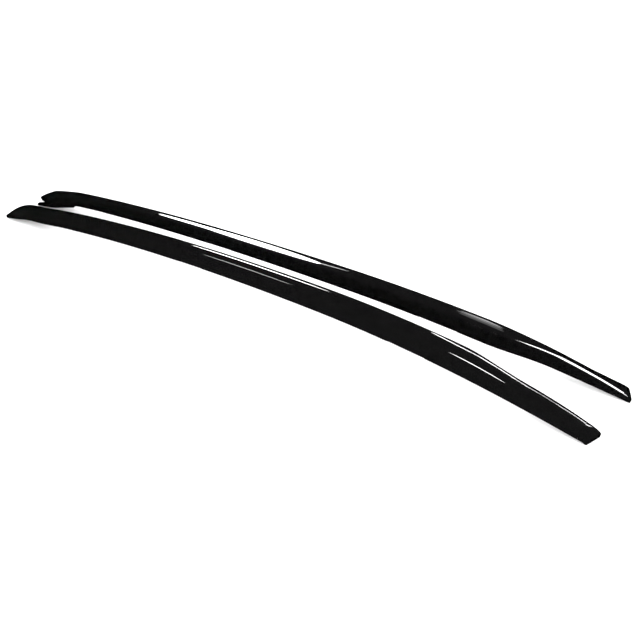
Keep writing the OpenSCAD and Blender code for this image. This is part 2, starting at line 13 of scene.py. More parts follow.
import bpy
import numpy as np
from mathutils import Matrix, Vector
from mathutils.geometry import tessellate_polygon

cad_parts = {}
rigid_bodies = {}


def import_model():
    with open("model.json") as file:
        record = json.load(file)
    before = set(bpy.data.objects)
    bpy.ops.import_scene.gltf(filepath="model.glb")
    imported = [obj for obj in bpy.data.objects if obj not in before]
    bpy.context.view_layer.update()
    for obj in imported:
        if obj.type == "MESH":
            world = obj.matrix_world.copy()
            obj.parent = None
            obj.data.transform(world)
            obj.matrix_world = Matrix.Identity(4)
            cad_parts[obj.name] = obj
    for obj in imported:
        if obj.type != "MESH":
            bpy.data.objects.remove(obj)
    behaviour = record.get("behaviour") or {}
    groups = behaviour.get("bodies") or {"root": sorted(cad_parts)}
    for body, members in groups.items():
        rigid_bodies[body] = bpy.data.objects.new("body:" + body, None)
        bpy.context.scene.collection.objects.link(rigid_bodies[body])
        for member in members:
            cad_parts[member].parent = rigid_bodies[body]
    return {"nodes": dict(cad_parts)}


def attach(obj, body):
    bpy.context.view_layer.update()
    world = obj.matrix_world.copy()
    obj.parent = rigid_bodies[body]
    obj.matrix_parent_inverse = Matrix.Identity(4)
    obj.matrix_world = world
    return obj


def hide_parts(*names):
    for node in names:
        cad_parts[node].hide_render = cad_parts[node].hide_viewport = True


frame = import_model()

log = logging.getLogger("roof_rails")
Array = np.ndarray


class Side(Enum):
    """Which rail of the pair a piece belongs to."""

    LEFT = "left"
    RIGHT = "right"


class Fixing(Enum):
    """The three places where a rail is held to the roof."""

    FRONT = "front"
    MIDDLE = "middle"
    REAR = "rear"


FIXING_PLACES = {Fixing.FRONT: 0.380, Fixing.MIDDLE: 0.880, Fixing.REAR: 1.405}


def eased(x: Array) -> Array:
    """Smooth step from 0 to 1: three times x squared less twice x cubed, with x held to 0..1."""
    c = np.clip(x, 0, 1)
    return c * c * (3 - 2 * c)


def rounded(x: Array) -> Array:
    """Quarter circle from 0 to 1: the root of one less (1 - x) squared, with x held to 0..1."""
    return np.sqrt(1 - (1 - np.clip(x, 0, 1)) ** 2)


def spread(start: float, end: float, step: float) -> Array:
    """Evenly spaced stations from start to end, no further apart than step."""
    return np.linspace(start, end, max(2, math.ceil((end - start) / step) + 1))


def joined(*parts: Array) -> Array:
    """Several (stations, points, 2) outlines laid end to end along their points."""
    return np.concatenate(parts, axis=1)


def stacked(*corners: tuple[Array, Array]) -> Array:
    """Corners that each have a u and a v at every station, as (stations, points, 2) outlines."""
    return np.stack([np.stack(corner, axis=-1) for corner in corners], axis=1)


@dataclass(frozen=True)
class RailCurve:
    """Centre line of a rail's base: three tangent arcs in a plane that leans inboard."""

    length: float = 1.705
    nose_bend: float = 0.330
    nose_radius: float = 3.250
    crown_radius: float = 7.350
    tail_bend: float = 0.480
    tail_radius: float = 2.600
    lean: float = math.radians(13)

    def arcs(self) -> list[tuple[float, float, float]]:
        """List the arcs.

        Returns:
            Start, end and radius of each. The last one runs on past the tail.
        """
        tail_start = self.length - self.tail_bend
        return [
            (0.0, self.nose_bend, self.nose_radius),
            (self.nose_bend, tail_start, self.crown_radius),
            (tail_start, 2 * self.length, self.tail_radius),
        ]

    def run(self, t: Array, heading: float) -> tuple[Array, Array, Array]:
        """Carry a point along the arcs.

        On an arc of radius r the point moves by r (sin a - sin b) forwards and r (cos b - cos a)
        upwards, where a and b are the headings before and after it.

        Args:
            t: distances from the nose.
            heading: angle of the curve above the level at the nose.

        Returns:
            How far forwards, how far up, and the heading there.
        """
        forward = np.zeros_like(t)
        upward = np.zeros_like(t)
        now = np.full_like(t, heading)
        before = heading
        for start, end, radius in self.arcs():
            turn = (np.clip(t, start, end) - start) / radius
            after = before - turn
            forward = forward + radius * (math.sin(before) - np.sin(after))
            upward = upward + radius * (np.cos(after) - math.cos(before))
            now = now - turn
            before = before - (end - start) / radius
        return forward, upward, now

    def points(self, t: Array, u: Array | float, v: Array | float) -> Array:
        """Turn places on a rail into points, before the rail is set in its place.

        A place is stepped out from the curve by u and v, turned by the lean, and the curve's
        plane is then leaned back, so the base stays level from side to side.

        Args:
            t: distances along the curve.
            u: distances inboard.
            v: heights above the base.

        Returns:
            An array with x, y and z along its last axis.
        """
        t, u, v = np.broadcast_arrays(np.asarray(t, float), u, v)
        end_forward, end_upward, _ = self.run(np.array([self.length]), 0.0)
        level = -math.atan2(end_upward[0], end_forward[0])
        chord = math.hypot(end_forward[0], end_upward[0])
        forward, upward, heading = self.run(t, level)
        sine, cosine = math.sin(self.lean), math.cos(self.lean)
        out = u * sine + v * cosine
        across = u * cosine - v * sine
        high = upward + np.cos(heading) * out
        return np.stack(
            [
                forward - chord / 2 - np.sin(heading) * out,
                high * sine + across * cosine,
                high * cosine - across * sine,
            ],
            axis=-1,
        )


@dataclass(frozen=True)
class Stance:
    """Where the two rails stand."""

    spacing: float = 0.108
    stagger: float = 0.014
    toe_in: float = math.radians(0.52)
    centring: float = 0.00182
    end_height: float = 0.0012

    def set_down(self, points: Array, side: Side) -> Array:
        """Turn a rail's points by the toe-in and move them to its side, mirrored on the right.

        Args:
            points: points of a rail in its own frame.
            side: the rail.

        Returns:
            The points in the frame of the pair.
        """
        hand = 1 if side is Side.LEFT else -1
        c, s = math.cos(hand * self.toe_in), math.sin(hand * self.toe_in)
        x, y = points[..., 0], hand * points[..., 1]
        return np.stack(
            [
                c * x - s * y - hand * self.stagger / 2 - self.centring,
                s * x + c * y - hand * self.spacing / 2,
                points[..., 2] + self.end_height,
            ],
            axis=-1,
        )


@dataclass(frozen=True)
class RailForm:
    """Width, height and section of a rail at each distance from its nose."""

    curve: RailCurve = RailCurve()
    bar_width: float = 0.0345
    bar_height: float = 0.0315
    outboard_batter: float = 0.00975
    inboard_batter: float = 0.00075
    outboard_shoulder: float = 0.0035
    inboard_shoulder: float = 0.0025
    crown_slope: float = math.radians(9.2)
    base_edge: float = 0.0005
    front_joint: float = 0.320
    rear_joint: float = 1.485
    joint_gap: float = 0.0002
    cap_length: float = 0.020
    nose_height: float = 0.005
    nose_width: float = 0.003
    nose_rise: float = 0.190
    nose_rise_power: float = 2.1
    nose_round: float = 0.105
    nose_share: float = 0.36
    nose_swing: float = 0.007
    swing_end: float = 0.285
    swing_run: float = 0.150
    tail_height: float = 0.0105
    tail_width: float = 0.026
    tail_taper: float = 0.110
    tail_fall_power: float = 3.0
    nose_tip: float = 0.0032
    nose_tip_run: float = 0.015
    nose_tip_end: float = 0.135
    nose_tip_fade: float = 0.050
    tail_tip: float = 0.0134
    tail_tip_lead: float = 0.010
    tail_tip_run: float = 0.185
    tail_tip_past: float = 0.055
    tail_tip_fade: float = 0.130
    tail_softening: float = 0.002
    softening_run: float = 0.080
    shoulder_hold: float = 1.2
    edge_bulge: float = 0.3
    wall_marks: tuple[float, ...] = (0.5, 0.95)
    arc_steps: int = 8
    top_steps: int = 8

    def nose_taper(self, t: Array) -> Array:
        """How much narrower than the bar the nose is: a quarter circle over the nose's round."""
        return (self.bar_width - self.nose_width) * (1 - rounded(t / self.nose_round))

    def swing(self, t: Array) -> Array:
        """How far the front foot has swung inboard: a smooth step towards the nose."""
        return self.nose_swing * eased((self.swing_end - t) / self.swing_run)

    def outboard_side(self, t: Array) -> Array:
        """Outboard edge of the base: half the width out, the swing and a share of the taper in."""
        return -self.bar_width / 2 + self.swing(t) + self.nose_share * self.nose_taper(t)

    def inboard_side(self, t: Array) -> Array:
        """Inboard edge of the base: half the width and the swing in, less the taper at each end.

        Args:
            t: distances from the nose.

        Returns:
            How far inboard of the centre line it lies.
        """
        tail = (self.bar_width - self.tail_width) * eased((t - self.rear_joint) / self.tail_taper)
        nose = (1 - self.nose_share) * self.nose_taper(t)
        return self.bar_width / 2 + self.swing(t) - nose - tail

    def width(self, t: Array) -> Array:
        """Width of the base."""
        return self.inboard_side(t) - self.outboard_side(t)

    def middle(self, t: Array) -> Array:
        """Middle of the base, inboard of the centre line."""
        return (self.inboard_side(t) + self.outboard_side(t)) / 2

    def height(self, t: Array) -> Array:
        """Height of a rail: the bar's, less a power of the way towards each end.

        Args:
            t: distances from the nose.

        Returns:
            The heights.
        """
        to_nose = np.clip(1 - t / self.nose_rise, 0, 1) ** self.nose_rise_power
        foot = self.curve.length - self.rear_joint
        to_tail = np.clip((t - self.rear_joint) / foot, 0, 1) ** self.tail_fall_power
        return (
            self.bar_height
            - (self.bar_height - self.nose_height) * to_nose
            - (self.bar_height - self.tail_height) * to_tail
        )

    def tip(self, t: Array) -> Array:
        """How much the top is lowered outboard: smooth steps up and down at each end.

        Args:
            t: distances from the nose.

        Returns:
            What the outboard edge of the top comes down by.
        """
        rise = eased(t / self.nose_tip_run)
        fade = eased((self.nose_tip_end - t) / self.nose_tip_fade)
        up = eased((t - self.rear_joint + self.tail_tip_lead) / self.tail_tip_run)
        down = eased((self.curve.length + self.tail_tip_past - t) / self.tail_tip_fade)
        return self.nose_tip * np.minimum(rise, fade) + self.tail_tip * np.minimum(up, down)

    def lowering(self, t: Array, outline: Array) -> Array:
        """How far an outline's points are lowered: in step with height and way outboard."""
        w, h = self.width(t)[:, None], self.height(t)[:, None]
        return self.tip(t)[:, None] * outline[..., 1] / h * (w / 2 - outline[..., 0]) / w

    def tipped(self, t: Array, outline: Array) -> Array:
        """Lower an outline's top outboard and move it to the middle of the base.

        Args:
            t: one distance for each outline.
            outline: outlines of (stations, points, 2), centred across the rail.

        Returns:
            The outlines in [u, v].
        """
        u, v = outline[..., 0], outline[..., 1]
        return np.stack([u + self.middle(t)[:, None], v - self.lowering(t, outline)], axis=-1)

    def softer(self, t: Array) -> Array:
        """How much rounder than the bar's the rear foot's inboard shoulder is: a smooth step."""
        return self.tail_softening * eased((t - self.rear_joint) / self.softening_run)

    def skin(self, width: Array, height: Array, softer: Array | float = 0.0) -> Array:
        """Outer outline from the outboard base edge over the top to the inboard one.

        Battered walls run tangent into two shoulder arcs, and the arcs into a shallow
        parabola over the top, whose slope at its ends is the crown's.

        Args:
            width: width of the base at each station.
            height: height at each station.
            softer: what is added to the inboard shoulder's radius.

        Returns:
            Outlines of (stations, points, 2), centred across the rail.
        """
        k = height / self.bar_height
        full = np.minimum(1, self.shoulder_hold * k)
        out_lean, in_lean = self.outboard_batter * k, self.inboard_batter * k
        out_r, in_r = self.outboard_shoulder * full, (self.inboard_shoulder + softer) * full
        out_tilt, in_tilt = np.arctan2(out_lean, height), np.arctan2(in_lean, height)
        out_u = -width / 2 + out_lean + out_r * np.tan(math.pi / 4 - out_tilt / 2)
        in_u = width / 2 - in_lean - in_r * np.tan(math.pi / 4 - in_tilt / 2)
        steep = math.pi / 2
        slope = self.crown_slope
        out_arc = self.shoulder(out_u, height, out_r, math.pi - out_tilt, steep + slope)
        in_arc = self.shoulder(in_u, height, in_r, steep - slope, in_tilt)
        s = np.linspace(0, 1, self.top_steps + 1)[None, 1:-1, None]
        left, right = out_arc[:, -1:], in_arc[:, :1]
        bulge = (right[..., :1] - left[..., :1]) * math.tan(slope) * s * (1 - s)
        top = left + (right - left) * s
        top[..., 1:] += bulge
        out_base = self.wall(-width / 2, out_arc[:, 0], 1)
        in_base = self.wall(width / 2, in_arc[:, -1], -1)[:, ::-1]
        return joined(out_base, out_arc, top, in_arc, in_base)

    def shoulder(
        self, u: Array, height: Array, radius: Array, start: Array | float, end: Array | float
    ) -> Array:
        """Arc about a centre that lies one radius below the top, from one angle to another.

        Args:
            u: place of the centre across the rail.
            height: height of the top.
            radius: radius of the arc.
            start: angle of its first point.
            end: angle of its last point.

        Returns:
            Its points, as (stations, points, 2).
        """
        s = np.linspace(0, 1, self.arc_steps + 1)[None, :]
        start, end = np.broadcast_to(start, u.shape), np.broadcast_to(end, u.shape)
        angle = start[:, None] * (1 - s) + end[:, None] * s
        across = u[:, None] + radius[:, None] * np.cos(angle)
        up = (height - radius)[:, None] + radius[:, None] * np.sin(angle)
        return np.stack([across, up], axis=-1)

    def wall(self, base: Array, top: Array, inward: int) -> Array:
        """Side wall from a slightly rounded base edge up to just below its shoulder.

        Args:
            base: u of the base edge.
            top: [u, v] of the shoulder's lower end.
            inward: 1 on the outboard side and -1 on the inboard one.

        Returns:
            Its points from the base up, as (stations, points, 2).
        """
        edge = np.minimum(self.base_edge, np.abs(base) / 4)
        foot = np.stack([base, np.zeros_like(base)], axis=-1)
        along = (top - foot) / np.linalg.norm(top - foot, axis=-1, keepdims=True)
        aside = np.stack([inward * edge, np.zeros_like(edge)], axis=-1)
        corner = foot + aside * self.edge_bulge + along * edge[:, None] * self.edge_bulge
        marks = [foot + (top - foot) * share for share in self.wall_marks]
        return np.stack([foot + aside, corner, foot + along * edge[:, None], *marks], axis=1)


class Shell:
    """A closed surface that is gathered from grids and flat ends, then made into one piece."""

    def __init__(self, curve: RailCurve, stance: Stance, side: Side) -> None:
        """Start an empty surface for one rail.

        Args:
            curve: the rail's centre line.
            stance: how the rails stand.
            side: the rail.
        """
        self.curve = curve
        self.stance = stance
        self.side = side
        self.points: list[Array] = []
        self.faces: list[list[int]] = []
        self.count = 0

    def add_points(self, points: Array) -> int:
        """Store points of a rail's own frame.

        Args:
            points: any array of them.

        Returns:
            The number of the first.
        """
        first = self.count
        flat = points.reshape(-1, 3)
        self.points.append(flat)
        self.count += len(flat)
        return first

    def grid(self, points: Array, inside_out: bool = False) -> int:
        """Add rings of points, each ring closed, and the quads between them.

        Quad (i, j) joins points j of rings i and i + 1 to points j + 1 of rings i + 1 and i, with
        the count taken round the ring.

        Args:
            points: (rings, points, 3).
            inside_out: True where the material lies outside the rings, as round a hollow.

        Returns:
            The number of the first point.
        """
        rings, around = points.shape[:2]
        first = self.add_points(points)
        i, j = np.meshgrid(np.arange(rings - 1), np.arange(around), indexing="ij")
        n = (j + 1) % around
        here, there = first + i * around, first + (i + 1) * around
        quads = np.stack([here + j, there + j, there + n, here + n], axis=-1).reshape(-1, 4)
        self.faces += (quads[:, ::-1] if inside_out else quads).tolist()
        return first

    def end(self, loops: list[tuple[int, Array]], facing_back: bool) -> None:
        """Close one end of a sweep with triangles between its loops.

        A triangle is turned round where the sign of its area, the cross product of two of its
        sides, isn't the one that the end's side asks for.

        Args:
            loops: the first point's number and the flat [u, v] outline of each loop, outer first.
            facing_back: True at the end that faces the tail.
        """
        flat = [[Vector((p[0], p[1], 0.0)) for p in outline] for _, outline in loops]
        numbers = np.concatenate([start + np.arange(len(outline)) for start, outline in loops])
        plane = np.concatenate([outline for _, outline in loops])
        triangles = np.array(tessellate_polygon(flat))
        a, b, c = (plane[triangles[:, k]] for k in range(3))
        p, q = b - a, c - a
        wrong = (p[:, 0] * q[:, 1] - p[:, 1] * q[:, 0] > 0) != facing_back
        triangles[wrong] = triangles[wrong, ::-1]
        self.faces += numbers[triangles].tolist()

    def fan(self, t: float, first: int, outline: Array, facing_back: bool) -> None:
        """Close one end of a sweep with triangles between its loop and the loop's middle.

        The triangles run the way the loop does where twice its signed area, the sum of
        u v' - u' v over neighbouring points, has the sign that the end's side asks for.

        Args:
            t: the end's distance along the rail.
            first: number of the loop's first point.
            outline: the loop's [u, v] outline.
            facing_back: True at the end that faces the tail.
        """
        u, v = outline.mean(axis=0)
        middle = self.add_points(self.curve.points(np.array([t]), u, v))
        after = np.roll(outline, -1, axis=0)
        area = np.sum(outline[:, 0] * after[:, 1] - after[:, 0] * outline[:, 1])
        k = np.arange(len(outline))
        following = (k + 1) % len(outline)
        faces = np.stack([np.full_like(k, middle), first + k, first + following], axis=1)
        self.faces += (faces if (area > 0) == facing_back else faces[:, ::-1]).tolist()

    def sweep(self, t: Array, outline: Array, inside_out: bool = False) -> tuple[int, int]:
        """Carry outlines in [u, v] along the curve.

        Args:
            t: distances that fit the outlines' stations, or their points one by one.
            outline: (stations, points, 2), clockwise with u to the right and v up.
            inside_out: True for a hollow.

        Returns:
            The numbers of the first points of the first and of the last ring.
        """
        first = self.grid(self.curve.points(t, outline[..., 0], outline[..., 1]), inside_out)
        return first, first + (len(outline) - 1) * outline.shape[1]

    def closed_sweep(self, t: Array, outline: Array) -> None:
        """Carry outlines along the curve, as sweep does, and close both ends.

        Args:
            t: distances, as for sweep.
            outline: (stations, points, 2), as for sweep.
        """
        front, back = self.sweep(t, outline)
        self.end([(front, outline[0])], False)
        self.end([(back, outline[-1])], True)

    def piece(self, name: str, sharp: float = 35.0) -> bpy.types.Object:
        """Make the object.

        Args:
            name: the piece's name after its side.
            sharp: angle in degrees past which an edge is left sharp.

        Returns:
            The new object, linked to the scene, at the origin.
        """
        placed = self.stance.set_down(np.concatenate(self.points), self.side)
        mirrored = self.side is Side.RIGHT
        faces = [face[::-1] for face in self.faces] if mirrored else self.faces
        full_name = f"{self.side.value}_{name}"
        mesh = bpy.data.meshes.new(full_name)
        mesh.from_pydata(placed, [], faces)
        mesh.validate()
        mesh.shade_smooth()
        mesh.set_sharp_from_angle(angle=math.radians(sharp))
        made = bpy.data.objects.new(full_name, mesh)
        bpy.context.scene.collection.objects.link(made)
        return made


@dataclass
class Rail:
    """What every sub-assembly of one rail shares."""

    side: Side
    form: RailForm = field(default_factory=RailForm)
    stance: Stance = field(default_factory=Stance)

    def shell(self) -> Shell:
        """An empty surface on this rail."""
        return Shell(self.form.curve, self.stance, self.side)

    def dress(
        self, made: bpy.types.Object, finish: bpy.types.Material, slot: str, node: str
    ) -> None:
        """Give a piece its finish, put it on its body and hide the node that it stands for.

        Args:
            made: the piece.
            finish: its material.
            slot: not used; the name of the record's slot for its finish.
            node: the node's name after its side.
        """
        made.data.materials.append(finish)
        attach(made, "root")
        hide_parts(f"{self.side.value}_{node}")
        faces = len(made.data.polygons)
        log.info("%s stands for %s_%s with %d faces", made.name, self.side.value, node, faces)

    def frame_at(self, t: float) -> tuple[Array, Array, Array, Array]:
        """Find the rail's directions at a place from two points close to it.

        Args:
            t: distance from the nose.

        Returns:
            The point on the base, and the directions of t, u and v, in the rail's own frame.
        """
        step = 1e-3
        base, inboard, up = self.form.curve.points(
            np.full(3, t), np.array([0, step, 0]), np.array([0, 0, step])
        )
        u = (inboard - base) / np.linalg.norm(inboard - base)
        v = (up - base) / np.linalg.norm(up - base)
        return base, np.cross(u, v), u, v


@dataclass
class Bar(Rail):
    """The extruded bar: a closed cell over an open channel, with a pocket for each pad."""

    wall: float = 0.0022
    channel: float = 0.015
    lip_length: float = 0.0024
    lip_height: float = 0.0016
    inboard_lip_top: float = 0.0087
    outboard_lip_base: float = 0.0109
    pocket_length: float = 0.0696
    pocket_height: float = 0.0026
    pockets: tuple[float, ...] = tuple(FIXING_PLACES.values())
    pocket_end: float = 1e-6
    cell_floor: float = 0.9
    cell_slack: float = 0.0002
    cell_bevel: float = 0.0015
    raked_inset: float = 0.0006
    raked_drop: float = 0.0018
    raked_run: float = 0.0025
    step: float = 0.006

    def stations(self) -> Array:
        """Space the sections, with two at each end of a pocket, which stands it upright.

        Returns:
            Their distances from the nose.
        """
        start = self.form.front_joint + self.form.joint_gap / 2
        end = self.form.rear_joint - self.form.joint_gap / 2
        half, hair = self.pocket_length / 2, self.pocket_end
        marks = [start, end]
        for place in self.pockets:
            for edge in (place - half, place + half):
                marks += [edge - hair, edge + hair]
        return np.unique(np.concatenate([spread(start, end, self.step), marks]))

    def outboard_wall(self, v: float) -> float:
        """Inner face of the outboard wall at height v."""
        f = self.form
        return -f.bar_width / 2 + f.outboard_batter * v / f.bar_height + self.wall

    def inboard_wall(self, v: float) -> float:
        """Inner face of the inboard wall at height v."""
        f = self.form
        return f.bar_width / 2 - f.inboard_batter * v / f.bar_height - self.wall

    def channel_outline(self) -> Array:
        """Draw the open channel up from the inboard base edge, across and down, with two lips.

        Returns:
            Its [u, v] points.
        """
        low_lip, high_lip = self.inboard_lip_top, self.outboard_lip_base
        inner = self.inboard_wall(low_lip) - self.lip_length
        outer = self.outboard_wall(high_lip) + self.lip_length
        under, over = low_lip - self.lip_height, high_lip + self.lip_height
        return np.array(
            [
                [self.inboard_wall(0), 0],
                [self.inboard_wall(under), under],
                [inner, under],
                [inner, low_lip],
                [self.inboard_wall(low_lip), low_lip],
                [self.inboard_wall(self.channel), self.channel],
                [self.outboard_wall(self.channel), self.channel],
                [self.outboard_wall(over), over],
                [outer, over],
                [outer, high_lip],
                [self.outboard_wall(high_lip), high_lip],
                [self.outboard_wall(0), 0],
            ]
        )

    def cell_outline(self) -> Array:
        """Draw the closed cell above the channel, with bevelled corners, from its floor up.

        Returns:
            Its [u, v] points, clockwise with u to the right and v up.
        """
        floor = self.channel + self.cell_floor * self.wall
        roof = self.form.bar_height - self.wall - self.cell_slack
        bevel = self.cell_bevel
        left, right = self.outboard_wall(floor), self.inboard_wall(floor)
        top_left, top_right = self.outboard_wall(roof), self.inboard_wall(roof)
        return np.array(
            [
                [left + bevel, floor],
                [left, floor + bevel],
                [top_left + self.raked_inset, roof - self.raked_drop],
                [top_left + self.raked_run, roof],
                [top_right - bevel, roof],
                [top_right, roof - bevel],
                [right, floor + bevel],
                [right - bevel, floor],
            ]
        )

    def build(self, finish: bpy.types.Material) -> bpy.types.Object:
        """Sweep the section and its cell, with the base raised over each pad.

        Args:
            finish: the rail's paint.

        Returns:
            The piece.
        """
        t = self.stations()
        width = np.full_like(t, self.form.bar_width)
        skin = self.form.skin(width, np.full_like(t, self.form.bar_height))
        repeats = (len(t), 1, 1)
        outline = joined(skin, np.tile(self.channel_outline(), repeats))
        nearest = np.min([np.abs(t - place) for place in self.pockets], axis=0)
        in_pocket = (nearest < self.pocket_length / 2)[:, None]
        v = outline[..., 1]
        outline[..., 1] = np.where(in_pocket, np.maximum(v, self.pocket_height), v)
        cell = np.tile(self.cell_outline(), repeats)
        shell = self.shell()
        outer = shell.sweep(t[:, None], outline)
        inner = shell.sweep(t[:, None], cell, inside_out=True)
        for k, facing_back in ((0, False), (1, True)):
            shell.end([(outer[k], outline[-k]), (inner[k], cell[-k])], facing_back)
        made = shell.piece("bar_skin")
        self.dress(made, finish, "rail_paint", "bar")
        return made


@dataclass
class Foot(Rail):
    """A hollow moulding that is open below, with what the feet and the tail cap share."""

    wall: float = 0.0026
    wall_share: float = 0.3
    outboard_room: float = 0.0014
    inboard_room: float = 0.0006
    inboard_bevel: float = 0.0012
    outboard_bevel: float = 0.0022
    outboard_bevel_drop: float = 0.0016
    solid_rise: float = 0.0004
    rib: float = 0.002
    rib_base: float = 0.002
    rib_top_gap: float = 0.0006
    rib_side_gap: float = 0.0005
    step: float = 0.004

    def top_ends(self, w: Array, h: Array) -> tuple[Array, Array]:
        """Find the ends of an inside's top: a wall in from the leaning sides.

        Args:
            w: outer width of the base.
            h: outer height.

        Returns:
            How far from the middle its outboard and its inboard end lie.
        """
        f = self.form
        k = h / f.bar_height
        outboard = -w / 2 + f.outboard_batter * k + self.wall + self.outboard_room * k
        inboard = w / 2 - f.inboard_batter * k - self.wall - self.inboard_room * k
        return outboard, inboard

    def hollow(self, t: Array) -> Array:
        """Inside of the moulding from its inboard base edge over to its outboard one.

        Args:
            t: distances from the nose.

        Returns:
            Outlines of (stations, 6, 2), centred across the rail.
        """
        w, h = self.form.width(t), self.form.height(t)
        k = h / self.form.bar_height
        side = np.minimum(self.wall, self.wall_share * w)
        top, zero = h - self.wall, np.zeros_like(w)
        outboard, inboard = self.top_ends(w, h)
        return stacked(
            (w / 2 - side, zero),
            (inboard, top - self.inboard_bevel * k),
            (inboard - self.inboard_bevel * k, top),
            (outboard + self.outboard_bevel * k, top),
            (outboard, top - self.outboard_bevel_drop * k),
            (-w / 2 + side, zero),
        )

    def underside(self, t: Array) -> Array:
        """Lay the hollow's points almost flat along the base, where the moulding is solid.

        They rise from the straight line by a shallow parabola, so no face has no area.

        Args:
            t: distances from the nose.

        Returns:
            Outlines of (stations, 6, 2), centred across the rail.
        """
        inside = self.hollow(t)
        s = np.linspace(0, 1, inside.shape[1])[None, :, None]
        flat = inside[:, :1] * (1 - s) + inside[:, -1:] * s
        flat[..., 1] += self.solid_rise * s[..., 0] * (1 - s[..., 0])
        return flat

    def ribs(self, shell: Shell, count: int, start: float, end: float) -> None:
        """Add upright ribs across the hollow, evenly spaced between two places.

        Args:
            shell: the moulding's surface.
            count: number of ribs.
            start: where the hollow starts.
            end: where it ends.
        """
        f = self.form
        side = self.wall / 2
        for place in np.linspace(start, end, count + 2)[1:-1]:
            t = place + np.array([-0.5, 0.5]) * self.rib
            w, h = f.width(t), f.height(t)
            low, high = np.full_like(t, self.rib_base), h - self.wall / 2 - self.rib_top_gap
            outline = stacked(
                (-w / 2 + side, low),
                (-w / 2 + f.outboard_batter * h / f.bar_height + self.wall, high),
                (w / 2 - self.wall - self.rib_side_gap, high),
                (w / 2 - side, low),
            )
            shell.closed_sweep(t[:, None], f.tipped(t, outline))


